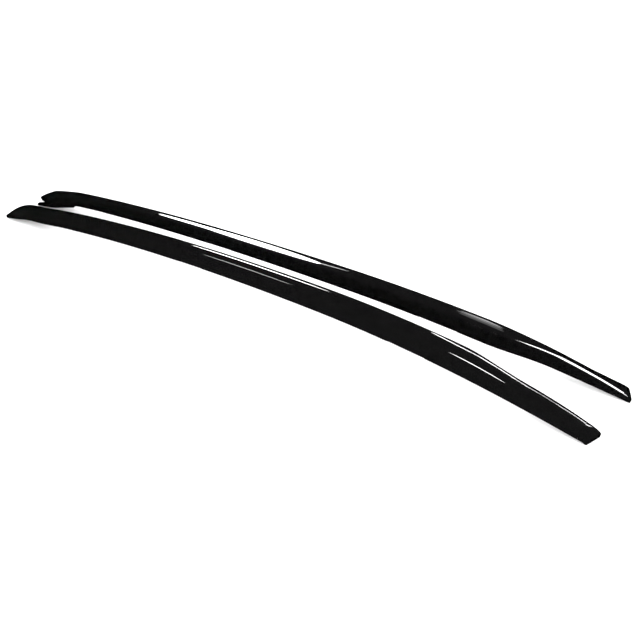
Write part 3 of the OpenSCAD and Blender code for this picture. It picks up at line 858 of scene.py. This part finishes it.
@dataclass
class FrontFoot(Foot):
    """The tapered front foot, with its nose, its ribs and the flange that is screwed down."""

    hollow_nose: float = 0.044
    solid_step: float = 0.0015
    rib_count: int = 5
    nose_drop: float = 0.0012
    nose_drop_run: float = 0.025
    beak_rise: float = 0.002
    beak_run: float = 0.030
    tip_radius: float = 0.0022
    tip_centre: float = 0.35
    tip_steps: int = 6
    flange_start: float = 0.030
    flange_end: float = 0.250
    flange_full: float = 0.120
    flange_reach: float = 0.041
    flange_end_reach: float = 0.023
    flange_top: float = 0.001
    flange_base: float = -0.003
    flange_bevel: float = 0.001
    flange_round: float = 0.016
    flange_corner: float = 0.008
    flange_steps: int = 26
    flange_crowding: float = 1.6
    flange_step: float = 0.005
    flange_points: int = 9
    prong_gap: float = 0.027
    prong_free: float = 0.030
    hole_place: float = 0.112
    hole_side: float = 0.030
    hole_radius: float = 0.0025
    hole_points: int = 48
    patch_half: float = 0.0065
    inner_from_edge: float = 0.003
    inner_from_root: float = 0.002
    outer_from_edge: float = 0.0015
    outer_from_inner: float = 0.0005

    def tip_size(self, t: Array) -> Array:
        """Size of the sections: half at the very tip, and whole past its round."""
        return (0.5 + 0.5 * rounded(t / self.tip_radius))[:, None, None]

    def outline(self, t: Array) -> Array:
        """Outer outline, with the nose's outboard edge drawn down and its tip rounded.

        The base is moved by a smooth step that fades along the nose and with height, and at the
        tip the whole outline shrinks to half about its middle as a quarter circle.

        Args:
            t: distances from the nose.

        Returns:
            Outlines of (stations, points, 2) in [u, v].
        """
        f = self.form
        w, h = f.width(t), f.height(t)
        skin = f.skin(w, h)
        u, v = skin[..., 0], skin[..., 1]
        lower = self.nose_drop * (1 - eased(t / self.nose_drop_run))[:, None]
        higher = self.beak_rise * (1 - eased(t / self.beak_run))[:, None]
        shift = np.where(u < 0, -lower, higher) * (1 - v / v.max(axis=1, keepdims=True))
        moved = f.tipped(t, np.stack([u, v + shift], axis=-1))
        centre = np.stack([f.middle(t), h * self.tip_centre], axis=-1)[:, None, :]
        return centre + (moved - centre) * self.tip_size(t)

    def flange_root(self, t: Array) -> Array:
        """Inner edge of the flange: free of the nose at first, then inside the moulding's wall.

        Args:
            t: distances from the nose.

        Returns:
            How far inboard of the centre line it lies.
        """
        free = 1 - eased((t - self.flange_start - self.prong_free / 2) / self.prong_free)
        root = self.form.inboard_side(t) - self.wall
        return root + (self.prong_gap - root) * free

    def flange_edge(self, t: Array) -> Array:
        """Outer edge of the flange: a rounded front, a straight stretch, then a straight taper.

        Args:
            t: distances from the nose.

        Returns:
            How far inboard of the centre line it lies.
        """
        along = t - self.flange_start
        straight = self.flange_end - self.flange_start - self.flange_full
        taper = np.clip((along - self.flange_full) / straight, 0, 1)
        narrower = (self.flange_reach - self.flange_end_reach) * taper
        front = 1 - rounded(along / self.flange_round)
        return self.flange_reach - narrower - self.flange_corner * front

    def flange(self, shell: Shell) -> None:
        """Add the flange as one closed surface with a round hole through it.

        Its sections are carried along up to a square patch that holds the hole, and on from it.
        They crowd towards the flange's front by a power of the way to the patch.

        Args:
            shell: the moulding's surface.
        """
        near, far = self.hole_place - self.patch_half, self.hole_place + self.patch_half
        way = np.linspace(0, 1, self.flange_steps) ** self.flange_crowding
        front = self.flange_start + (near - self.flange_start) * way
        back = spread(far, self.flange_end, self.flange_step)
        front_section, back_section = self.flange_section(front), self.flange_section(back)
        first, front_ring = shell.sweep(front[:, None], front_section)
        shell.fan(front[0], first, front_section[0], False)
        back_ring, last = shell.sweep(back[:, None], back_section)
        shell.fan(back[-1], last, back_section[-1], True)
        self.flange_patch(shell, front_ring, back_ring)

    def flange_section(self, t: Array) -> Array:
        """Section of the flange: four points across its top, one at its bevel, four below.

        Args:
            t: distances from the nose.

        Returns:
            Outlines of (stations, 9, 2) in [u, v].
        """
        root, edge = self.flange_root(t), self.flange_edge(t)
        inner = np.minimum(self.hole_side - self.patch_half, edge - self.inner_from_edge)
        inner = np.maximum(inner, root + self.inner_from_root)
        outer = np.minimum(self.hole_side + self.patch_half, edge - self.outer_from_edge)
        outer = np.maximum(outer, inner + self.outer_from_inner)
        across = [root, inner, outer, edge - self.flange_bevel, edge, edge, outer, inner, root]
        top, base = self.flange_top, self.flange_base
        high = [top] * 4 + [top - self.flange_bevel] + [base] * 4
        return stacked(*((u, np.full_like(t, v)) for u, v in zip(across, high)))

    def flange_patch(self, shell: Shell, front_ring: int, back_ring: int) -> None:
        """Add the stretch of flange that holds the hole.

        Beside the hole's square the faces are plain quads. Inside it each point of the hole's
        circle is joined to the nearest corner of the square, on both faces, and each side of the
        square to the point of the circle halfway between its corners.

        Args:
            shell: the moulding's surface.
            front_ring: number of the first point of the ring ahead of it.
            back_ring: number of the first point of the ring behind it.
        """
        # of the section's nine strips, 1 lies over the hole and 6 under it
        j = np.array([0, 2, 3, 4, 5, 7, 8])
        n = (j + 1) % self.flange_points
        sides = [front_ring + j, back_ring + j, back_ring + n, front_ring + n]
        k = np.arange(self.hole_points)
        n = (k + 1) % self.hole_points
        angle = k * math.tau / self.hole_points + math.tau / 8
        t = self.hole_place + self.hole_radius * np.cos(angle)
        u = self.hole_side + self.hole_radius * np.sin(angle)
        top = shell.add_points(self.form.curve.points(t, u, self.flange_top))
        base = shell.add_points(self.form.curve.points(t, u, self.flange_base))
        ring = np.array([back_ring, front_ring, front_ring, back_ring])
        over, under = ring + [2, 2, 1, 1], ring + [6, 6, 7, 7]
        corner = 4 * k // self.hole_points
        following = np.array([1, 2, 3, 0])
        halfway = following * self.hole_points // 4
        for corners in (
            sides,
            [top + k, top + n, base + n, base + k],
            [over[corner], top + n, top + k],
            [under[corner], base + k, base + n],
            [over, over[following], top + halfway],
            [under, base + halfway, under[following]],
        ):
            shell.faces += np.stack(corners, axis=1).tolist()

    def build(self, finish: bpy.types.Material) -> bpy.types.Object:
        """Sweep the moulding from its tip to the joint, solid at first and then hollow.

        Args:
            finish: the feet's paint.

        Returns:
            The piece.
        """
        end = self.form.front_joint - self.form.joint_gap / 2
        tip = self.tip_radius * (1 - np.cos(np.linspace(0, math.pi / 2, self.tip_steps)))
        rest = spread(self.tip_radius, self.hollow_nose, self.solid_step)[1:]
        solid = np.concatenate([tip, rest])
        open_part = spread(self.hollow_nose, end, self.step)
        t = np.concatenate([solid, open_part])
        inside = np.concatenate([self.underside(solid), self.hollow(open_part)])
        size = self.tip_size(t)
        inside = self.form.tipped(t, inside * size)
        inside[..., 1] += self.tip_centre * self.form.height(t)[:, None] * (1 - size[:, 0])
        shell = self.shell()
        shell.closed_sweep(t[:, None], joined(self.outline(t), inside))
        self.ribs(shell, self.rib_count, self.hollow_nose, self.form.front_joint)
        self.flange(shell)
        made = shell.piece("front_foot_skin")
        self.dress(made, finish, "foot_paint", "front_foot")
        return made


@dataclass
class RearFoot(Foot):
    """The rear foot, which falls away and tips outboard towards the tail."""

    rib_count: int = 3

    def build(self, finish: bpy.types.Material) -> bpy.types.Object:
        """Sweep the moulding from the joint to the cap.

        Args:
            finish: the feet's paint.

        Returns:
            The piece.
        """
        f = self.form
        cap = f.curve.length - f.cap_length
        t = spread(f.rear_joint + f.joint_gap / 2, cap - f.joint_gap, self.step)
        skin = f.skin(f.width(t), f.height(t), f.softer(t))
        shell = self.shell()
        shell.closed_sweep(t[:, None], f.tipped(t, joined(skin, self.hollow(t))))
        self.ribs(shell, self.rib_count, f.rear_joint, cap)
        made = shell.piece("rear_foot_skin")
        self.dress(made, finish, "foot_paint", "rear_foot")
        return made


@dataclass
class TailCap(Foot):
    """The oblique cap that closes the tail, with its plug and the lip that stands on the ground."""

    skew: float = 0.0104
    skew_centre: float = 0.15
    edge_round: float = 0.05
    edge_steps: int = 6
    body_steps: int = 14
    height_fall: float = 0.35
    width_fall: float = 0.06
    face_round: float = 0.12
    face_steepest: float = 0.999
    face_centre: float = 0.4
    plug_length: float = 0.014
    plug_root: float = 0.001
    plug_base: float = 0.001
    plug_fit: float = 0.93
    lip_run: float = 0.007
    lip_root: float = 0.0015
    lip_inset: float = 0.0006
    lip_steps: int = 5
    lip_start: float = 0.1
    lip_growth: float = 0.86

    def skewed(self, t: Array, u: Array) -> Array:
        """Turn the cap's sections askew, more and more towards its end.

        Args:
            t: distances from the nose.
            u: distances inboard.

        Returns:
            Distances that are longer inboard and shorter outboard.
        """
        f = self.form
        start = f.curve.length - f.cap_length
        aside = (u - f.middle(t)) / f.width(t) - self.skew_centre
        return t + self.skew * aside * np.clip((t - start) / f.cap_length, 0, 1)

    def slim(self, x: Array) -> Array:
        """How much of its width the cap keeps: less by the fourth power of the way along it."""
        return 1 - self.width_fall * x**4

    def body(self, shell: Shell) -> None:
        """Add the cap's body, whose height falls by the fifth power of the way along it.

        Its last sections shrink about a point on their middle line, as a quarter ellipse.

        Args:
            shell: the cap's surface.
        """
        f = self.form
        edge = self.edge_round * np.cos(np.linspace(0, math.pi / 2, self.edge_steps))
        before = np.linspace(0, 1 - self.edge_round, self.body_steps)[:-1]
        x = np.concatenate([before, 1 - edge])
        t = f.curve.length - f.cap_length * (1 - x)
        outline = f.skin(f.width(t), f.height(t) * (1 - self.height_fall * x**5), f.softer(t))
        outline[..., 1] -= f.lowering(t, outline)
        outline[..., 0] *= self.slim(x)[:, None]
        past = np.clip((x - 1 + self.edge_round) / self.edge_round, 0, 1)
        shrink = 1 - self.face_round * (1 - np.sqrt(1 - self.face_steepest * past**2))
        centre_v = self.face_centre * outline[..., 1].max(axis=1)
        centre = np.stack([np.zeros_like(t), centre_v], axis=-1)[:, None]
        outline = centre + (outline - centre) * shrink[:, None, None]
        outline[..., 0] += f.middle(t)[:, None]
        shell.closed_sweep(self.skewed(t[:, None], outline[..., 0]), outline)

    def plug(self, shell: Shell) -> None:
        """Add the plug that reaches into the rear foot.

        Args:
            shell: the cap's surface.
        """
        f = self.form
        start = f.curve.length - f.cap_length
        t = np.linspace(start - self.plug_length, start + self.plug_root, 3)
        w, h = f.width(t) * self.plug_fit, f.height(t) * self.plug_fit
        low, high = np.full_like(t, self.plug_base), h - self.wall
        outboard, inboard = self.top_ends(w, h)
        outline = stacked(
            (-w / 2 + self.wall, low), (outboard, high), (inboard, high), (w / 2 - self.wall, low)
        )
        shell.closed_sweep(t[:, None], f.tipped(t, outline))

    def lip(self, shell: Shell) -> None:
        """Add the lip: a wedge across the underside that reaches the ground at the cap's end.

        Args:
            shell: the cap's surface.
        """
        f = self.form
        x = np.linspace(0, 1, self.lip_steps)
        t = f.curve.length - self.lip_run * (1 - x)
        out = f.outboard_side(t) * self.slim(x) + self.lip_inset
        inn = f.inboard_side(t) * self.slim(x) - self.lip_inset
        depth = self.lip_start + self.lip_growth * x
        out_down, inn_down = (
            -depth * (f.curve.points(self.skewed(t, u), u, 0.0)[..., 2] + self.stance.end_height)
            for u in (out, inn)
        )
        root = np.full_like(t, self.lip_root)
        outline = stacked((out, out_down), (out, root), (inn, root), (inn, inn_down))
        shell.closed_sweep(self.skewed(t[:, None], outline[..., 0]), outline)

    def build(self, finish: bpy.types.Material) -> bpy.types.Object:
        """Make the cap.

        Args:
            finish: the feet's paint.

        Returns:
            The piece.
        """
        shell = self.shell()
        self.body(shell)
        self.plug(shell)
        self.lip(shell)
        made = shell.piece("tail_cap_skin", sharp=40.0)
        self.dress(made, finish, "foot_paint", "tail_cap")
        return made


@dataclass
class RoofScrews(Rail):
    """The three self-tapping screws of a fixing, with their threads."""

    fixing: Fixing = Fixing.FRONT
    seat: float = 0.0106
    shank: float = 0.0042
    length: float = 0.018
    head: float = 0.0084
    head_height: float = 0.0024
    pitch: float = 0.0014
    thread_depth: float = 0.0005
    point: float = 0.0042
    point_share: float = 0.04
    point_thread: float = 1.4
    neck: float = 0.0008
    thread_end: float = 0.0012
    thread_fade: float = 0.001
    around: int = 24
    shank_rings: int = 96
    head_curve: tuple[tuple[float, float], ...] = (
        (0.97, 0.0), (1.0, 0.12), (1.0, 0.35), (0.95, 0.58), (0.84, 0.78), (0.6, 0.95), (0.3, 1.0),
    )
    finger_pitch: float = 0.0325
    finger_line: float = 0.0068
    slot_line: float = 0.0013

    def screw_places(self) -> list[tuple[float, float]]:
        """Along and across places of the screws: one in each finger and one in the slot."""
        half = self.finger_pitch / 2
        return [(-half, self.finger_line), (0.0, self.slot_line), (half, self.finger_line)]

    def profile(self) -> Array:
        """Turn a screw about its axis.

        The thread is a triangle wave of the height over the pitch less the turn, which draws the
        radius in from the crest by up to the thread's depth and fades out towards the head. The
        head is turned from shares of its radius and height.

        Returns:
            Rings from its point to its head, as (rings, around, 3).
        """
        turns = np.linspace(math.tau, 0, self.around + 1)[None, 1:]
        z = np.linspace(-self.length, -self.neck, self.shank_rings)[:, None]
        wave = np.abs(2 * ((z / self.pitch - turns / math.tau) % 1) - 1)
        taper = np.clip((z + self.length) / self.point, self.point_share, 1)
        fade = np.clip((-self.thread_end - z) / self.thread_fade, 0, 1)
        depth = self.thread_depth * wave * fade * np.minimum(1, taper * self.point_thread)
        head = np.array(self.head_curve) * [self.head / 2, self.head_height]
        head = np.concatenate([[[self.shank / 2, 0.0]], head])
        flat = 0 * turns
        radius = np.concatenate([self.shank / 2 * taper - depth, head[:, :1] + flat])
        height = np.concatenate([z, head[:, 1:]]) + flat
        return np.stack([radius * np.cos(turns), radius * np.sin(turns), height], axis=-1)

    def build(self, finish: bpy.types.Material) -> bpy.types.Object:
        """Stand the three screws in their clip.

        Args:
            finish: the screws' coating.

        Returns:
            The piece.
        """
        base, along, inboard, up = self.frame_at(FIXING_PLACES[self.fixing])
        profile = self.profile()
        ring = np.arange(self.around)
        shell = self.shell()
        for x, y in self.screw_places():
            a, b, c = np.split(profile + np.array([x, y, self.seat]), 3, axis=-1)
            first = shell.grid(base + a * along + b * inboard + c * up)
            last = shell.count - self.around
            shell.faces += [(first + ring).tolist(), (last + ring)[::-1].tolist()]
        made = shell.piece(f"{self.fixing.value}_screws_threaded")
        self.dress(made, finish, "roof_screw", f"{self.fixing.value}_screws")
        return made


@dataclass(frozen=True)
class Finish:
    """A procedural finish: fine changes of colour and gloss, and a bump in object space."""

    name: str
    dark: tuple[float, float, float]
    light: tuple[float, float, float]
    colour_scale: float
    gloss_low: float
    gloss_high: float
    gloss_scale: float
    bump_scale: float
    bump_height: float
    metallic: float = 0.0
    coat: float = 0.0
    coat_roughness: float = 0.02
    specular: float = 0.5
    stretch: tuple[float, float, float] = (1.0, 1.0, 1.0)
    colour_detail: float = 4.0
    gloss_detail: float = 3.0
    bump_detail: float = 2.0
    ramp_span: tuple[float, float] = (0.3, 0.7)

    def material(self) -> bpy.types.Material:
        """Build the node material.

        Returns:
            The material, reading object coordinates only.
        """
        made = bpy.data.materials.new(self.name)
        made.use_nodes = True
        nodes, links = made.node_tree.nodes, made.node_tree.links
        shader = nodes["Principled BSDF"]
        for socket, value in (
            ("Metallic", self.metallic),
            ("Coat Weight", self.coat),
            ("Coat Roughness", self.coat_roughness),
            ("Specular IOR Level", self.specular),
        ):
            shader.inputs[socket].default_value = value
        place = nodes.new("ShaderNodeTexCoord")
        turn = nodes.new("ShaderNodeMapping")
        turn.inputs["Scale"].default_value = self.stretch
        links.new(place.outputs["Object"], turn.inputs["Vector"])
        where = turn.outputs["Vector"]
        grain = self.noise(made, where, self.colour_scale, self.colour_detail)
        links.new(self.ramp(made, grain, self.dark, self.light), shader.inputs["Base Color"])
        low, high = (self.gloss_low,) * 3, (self.gloss_high,) * 3
        grain = self.noise(made, where, self.gloss_scale, self.gloss_detail)
        links.new(self.ramp(made, grain, low, high), shader.inputs["Roughness"])
        bump = nodes.new("ShaderNodeBump")
        bump.inputs["Strength"].default_value = 1.0
        bump.inputs["Distance"].default_value = self.bump_height
        grain = self.noise(made, where, self.bump_scale, self.bump_detail)
        links.new(grain, bump.inputs["Height"])
        links.new(bump.outputs["Normal"], shader.inputs["Normal"])
        if self.coat > 0:
            links.new(bump.outputs["Normal"], shader.inputs["Coat Normal"])
        return made

    def noise(
        self, made: bpy.types.Material, where: bpy.types.NodeSocket, scale: float, detail: float
    ) -> bpy.types.NodeSocket:
        """Add cloudy noise.

        Args:
            made: the material.
            where: the place in the object.
            scale: grains to the metre.
            detail: how many finer layers it has.

        Returns:
            The noise, between 0 and 1.
        """
        node = made.node_tree.nodes.new("ShaderNodeTexNoise")
        node.inputs["Scale"].default_value = scale
        node.inputs["Detail"].default_value = detail
        made.node_tree.links.new(where, node.inputs["Vector"])
        return node.outputs["Fac"]

    def ramp(
        self,
        made: bpy.types.Material,
        value: bpy.types.NodeSocket,
        low: tuple[float, float, float],
        high: tuple[float, float, float],
    ) -> bpy.types.NodeSocket:
        """Add a ramp that goes straight from low to high over the middle of a noise's range.

        Args:
            made: the material.
            value: the noise.
            low: colour below the middle.
            high: colour above it.

        Returns:
            The colour.
        """
        node = made.node_tree.nodes.new("ShaderNodeValToRGB")
        first, last = node.color_ramp.elements
        first.position, last.position = self.ramp_span
        first.color, last.color = (*low, 1.0), (*high, 1.0)
        made.node_tree.links.new(value, node.inputs["Fac"])
        return node.outputs["Color"]


RAIL_PAINT = Finish(
    "gloss_black_paint",
    dark=(0.0029, 0.0029, 0.0030), light=(0.0042, 0.0042, 0.0043), colour_scale=60.0,
    gloss_low=0.035, gloss_high=0.06, gloss_scale=25.0,
    bump_scale=700.0, bump_height=0.0000015, coat=1.0, coat_roughness=0.02,
)
FOOT_PAINT = Finish(
    "gloss_black_moulding",
    dark=(0.0029, 0.0029, 0.0030), light=(0.0042, 0.0042, 0.0043), colour_scale=90.0,
    gloss_low=0.04, gloss_high=0.07, gloss_scale=40.0,
    bump_scale=500.0, bump_height=0.0000015, coat=1.0, coat_roughness=0.022,
)
DRAWN_ALUMINIUM = Finish(
    "drawn_aluminium",
    dark=(0.60, 0.61, 0.63), light=(0.74, 0.75, 0.77), colour_scale=900.0,
    gloss_low=0.28, gloss_high=0.42, gloss_scale=600.0,
    bump_scale=900.0, bump_height=0.00001, metallic=0.5, stretch=(0.04, 1.0, 1.0),
)
BRIGHT_ZINC = Finish(
    "bright_zinc_screw",
    dark=(0.55, 0.57, 0.60), light=(0.74, 0.76, 0.78), colour_scale=700.0,
    gloss_low=0.18, gloss_high=0.34, gloss_scale=400.0,
    bump_scale=900.0, bump_height=0.00001, metallic=0.5,
)
ZINC_PLATE = Finish(
    "zinc_plated_sheet",
    dark=(0.56, 0.60, 0.66), light=(0.78, 0.82, 0.86), colour_scale=160.0,
    gloss_low=0.20, gloss_high=0.36, gloss_scale=240.0,
    bump_scale=700.0, bump_height=0.00001, metallic=0.4,
)
RUBBER = Finish(
    "black_rubber",
    dark=(0.010, 0.010, 0.010), light=(0.020, 0.020, 0.020), colour_scale=300.0,
    gloss_low=0.55, gloss_high=0.75, gloss_scale=500.0,
    bump_scale=2200.0, bump_height=0.00003,
)
SCREW_COAT = Finish(
    "black_screw_coat",
    dark=(0.008, 0.008, 0.008), light=(0.022, 0.021, 0.021), colour_scale=800.0,
    gloss_low=0.22, gloss_high=0.38, gloss_scale=600.0,
    bump_scale=2500.0, bump_height=0.00001, specular=0.6,
)


@dataclass
class Hardware:
    """The rigid pieces that keep their solids and only take a finish."""

    side: Side

    def dress(self) -> list[bpy.types.Object]:
        """Put each finish on its nodes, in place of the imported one.

        Returns:
            The nodes.
        """
        dressed = []
        for finish, names in (
            (DRAWN_ALUMINIUM, ["front_joiner", "rear_joiner"]),
            (BRIGHT_ZINC, ["joiner_screws"]),
            (ZINC_PLATE, [f"{fixing.value}_clip" for fixing in Fixing]),
            (RUBBER, [f"{fixing.value}_pad" for fixing in Fixing]),
        ):
            for name in names:
                node = frame["nodes"][f"{self.side.value}_{name}"]
                for place in node.material_slots:
                    place.material = material(finish)
                dressed.append(node)
                log.info("%s takes %s", node.name, finish.name)
        return dressed


MADE: dict[str, bpy.types.Material] = {}


def material(finish: Finish) -> bpy.types.Material:
    """The material of a finish, made once.

    Args:
        finish: the finish.

    Returns:
        Its material, which is the same one at every call.
    """
    if finish.name not in MADE:
        MADE[finish.name] = finish.material()
    return MADE[finish.name]


class Shape(Enum):
    """Outline of a strip light, under the name that the light's own setting has."""

    RECTANGLE = "RECTANGLE"
    ELLIPSE = "ELLIPSE"


@dataclass(frozen=True)
class Softbox:
    """A strip light that shows in a rail's gloss alone.

    Each end of its centre line is a distance along the rails and a rise in degrees round the
    line between them: 0 is level on the far side, 90 overhead and 180 level on the near side.
    Its spread is its width, in degrees round that line.
    """

    name: str
    first: tuple[float, float]
    second: tuple[float, float]
    spread: float
    radiance: float
    lit: tuple[Side, ...]
    shape: Shape = Shape.ELLIPSE
    away: float = 1.6
    centre_height: float = 0.08

    def end(self, place: tuple[float, float]) -> Vector:
        """Find one end of the light.

        Args:
            place: distance along the rails and rise round them.

        Returns:
            The point.
        """
        rise = math.radians(place[1])
        across, up = self.away * math.cos(rise), self.away * math.sin(rise)
        return Vector((place[0], across, self.centre_height + up))

    def hang(self, rails: dict[Side, bpy.types.Collection]) -> None:
        """Hang the light facing the line between the rails, and link it to its rail.

        Its power is its radiance times pi times its area.

        Args:
            rails: the pieces of each rail.
        """
        first, second = self.end(self.first), self.end(self.second)
        middle = (first + second) / 2
        along = (second - first).normalized()
        outwards = Vector((0.0, middle.y, middle.z - self.centre_height))
        outwards = (outwards - along * outwards.dot(along)).normalized()
        across = outwards.cross(along)
        light = bpy.data.lights.new(self.name, "AREA")
        light.shape = self.shape.value
        light.size = (second - first).length
        light.size_y = self.away * math.radians(self.spread)
        fill = math.pi / 4 if self.shape is Shape.ELLIPSE else 1.0
        light.energy = self.radiance * math.pi * light.size * light.size_y * fill
        made = bpy.data.objects.new(self.name, light)
        axes = Matrix((along, across, outwards)).transposed().to_4x4()
        made.matrix_world = Matrix.Translation(middle) @ axes
        made.visible_camera = False
        made.visible_diffuse = False
        bpy.context.scene.collection.objects.link(made)
        receivers = bpy.data.collections.new(f"{self.name}_falls_on")
        for side in self.lit:
            for piece in rails[side].objects:
                receivers.objects.link(piece)
        made.light_linking.receiver_collection = receivers


@dataclass
class Studio:
    """White floor, even air, strip lights and the camera at the photograph's angle."""

    camera_place: tuple[float, float, float] = (0.974834, -0.614910, 0.711891)
    azimuth: float = math.radians(47.438)
    elevation: float = math.radians(38.789)
    roll: float = math.radians(14.073)
    lens: float = 33.75
    sensor: float = 36.0
    clipping: tuple[float, float] = (0.01, 60.0)
    floor_half: float = 9.0
    floor_grey: float = 0.92
    floor_roughness: float = 0.95
    sky_strength: float = 2.6
    tail_radiance: float = 24.0
    # first end, second end and spread of each stretch of the near rail's line at the tail
    tail_line: tuple[tuple[tuple[float, float], tuple[float, float], float], ...] = (
        ((0.13, 37.6), (0.35, 43.5), 1.4),
        ((0.345, 43.2), (0.54, 47.3), 1.3),
        ((0.535, 47.1), (0.73, 57.6), 1.2),
        ((0.725, 57.2), (0.90, 72.2), 1.2),
        ((0.895, 71.8), (1.08, 83.9), 1.0),
        ((1.075, 83.6), (1.40, 95.2), 1.0),
        ((1.39, 95.0), (1.90, 68.0), 1.2),
    )

    def camera(self) -> None:
        """Stand the camera: level and turned to its azimuth, tipped down, then rolled."""
        lens = bpy.data.cameras.new("camera")
        lens.lens, lens.sensor_width = self.lens, self.sensor
        lens.clip_start, lens.clip_end = self.clipping
        ahead = Vector((
            -math.sin(self.azimuth) * math.cos(self.elevation),
            math.cos(self.azimuth) * math.cos(self.elevation),
            -math.sin(self.elevation),
        ))
        level = Vector((math.cos(self.azimuth), math.sin(self.azimuth), 0.0))
        down = ahead.cross(level)
        c, s = math.cos(self.roll), math.sin(self.roll)
        right, below = c * level + s * down, c * down - s * level
        made = bpy.data.objects.new("camera", lens)
        axes = Matrix((right, -below, -ahead)).transposed().to_4x4()
        made.matrix_world = Matrix.Translation(self.camera_place) @ axes
        bpy.context.scene.collection.objects.link(made)
        bpy.context.scene.camera = made

    def floor(self) -> None:
        """Lay the floor: pale, matt and kept out of the rails' reflections."""
        half = self.floor_half
        corners = np.array([[-half, -half, 0], [half, -half, 0], [half, half, 0], [-half, half, 0]])
        mesh = bpy.data.meshes.new("floor")
        mesh.from_pydata(corners, [], [[0, 1, 2, 3]])
        made = bpy.data.objects.new("floor", mesh)
        bpy.context.scene.collection.objects.link(made)
        paper = bpy.data.materials.new("white_paper")
        paper.use_nodes = True
        shader = paper.node_tree.nodes["Principled BSDF"]
        shader.inputs["Base Color"].default_value = (*(self.floor_grey,) * 3, 1.0)
        shader.inputs["Roughness"].default_value = self.floor_roughness
        shader.inputs["Specular IOR Level"].default_value = 0.0
        mesh.materials.append(paper)
        made.visible_glossy = False

    def air(self) -> None:
        """Fill the studio with even white light that the rails don't mirror."""
        world = bpy.data.worlds.new("studio")
        bpy.context.scene.world = world
        world.use_nodes = True
        sky = world.node_tree.nodes["Background"]
        sky.inputs["Color"].default_value = (1.0, 1.0, 1.0, 1.0)
        sky.inputs["Strength"].default_value = self.sky_strength
        world.cycles_visibility.glossy = False

    def lights(self, rails: dict[Side, bpy.types.Collection]) -> None:
        """Hang the strip lights that draw the lines of light along the rails.

        Args:
            rails: the pieces of each rail.
        """
        left, right = (Side.LEFT,), (Side.RIGHT,)
        # name, first end, second end, spread, radiance and rails
        hung = [
            Softbox("inboard_line", (-1.86, 38.5), (-0.62, 42.0), 2.6, 26.0, left),
            Softbox("outboard_line", (-1.66, 79.0), (-0.84, 81.0), 12.0, 16.0, left),
            Softbox("crown_band_1", (-2.40, 38.5), (-0.76, 49.0), 12.0, 26.0, right),
            Softbox("crown_band_2", (-1.80, 43.0), (-0.76, 48.5), 21.0, 26.0, right),
            Softbox("crown_tail", (-0.80, 48.0), (-0.57, 40.5), 1.4, 9.0, right),
            Softbox("tail_sheen_1", (0.20, 37.5), (0.51, 37.0), 4.0, 4.0, right),
            Softbox("tail_sheen_2", (0.19, 42.0), (0.53, 42.0), 6.0, 1.7, right),
            Softbox("tail_sheen_3", (0.22, 48.0), (0.56, 48.0), 8.0, 0.8, right),
            Softbox("tail_band", (1.09, 85.0), (2.10, 85.0), 130.0, 28.0, right, Shape.RECTANGLE),
            Softbox("tail_band_side", (1.01, 150.0), (2.20, 150.0), 84.0, 20.0, right),
        ]
        for number, (first, second, width) in enumerate(self.tail_line, 1):
            name = f"tail_line_{number}"
            hung.append(
                Softbox(name, first, second, width, self.tail_radiance, left, Shape.RECTANGLE)
            )
        hung.append(
            Softbox("tail_streak", (0.49, 172.0), (0.665, 172.0), 27.0, 24.0, left, away=0.45)
        )
        for box in hung:
            box.hang(rails)
            log.info("%s hangs for the %s rail", box.name, box.lit[0].value)

    def set_up(self) -> None:
        """Make the studio, apart from the strip lights."""
        self.camera()
        self.floor()
        self.air()
        bpy.context.scene.view_settings.view_transform = "Standard"


def dress_rail(side: Side) -> bpy.types.Collection:
    """Build every sub-assembly of one rail.

    Args:
        side: the rail.

    Returns:
        A collection of its pieces.
    """
    made = [Bar(side).build(material(RAIL_PAINT))]
    for part in (FrontFoot(side), RearFoot(side), TailCap(side)):
        made.append(part.build(material(FOOT_PAINT)))
    for fixing in Fixing:
        made.append(RoofScrews(side, fixing=fixing).build(material(SCREW_COAT)))
    made += Hardware(side).dress()
    pieces = bpy.data.collections.new(f"{side.value}_rail")
    for piece in made:
        pieces.objects.link(piece)
    return pieces


def main() -> None:
    """Build the studio and both rails."""
    logging.basicConfig(level=logging.INFO, format="%(name)s: %(message)s")
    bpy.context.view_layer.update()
    studio = Studio()
    studio.set_up()
    rails = {side: dress_rail(side) for side in Side}
    studio.lights(rails)


if __name__ == "__main__":
    main()
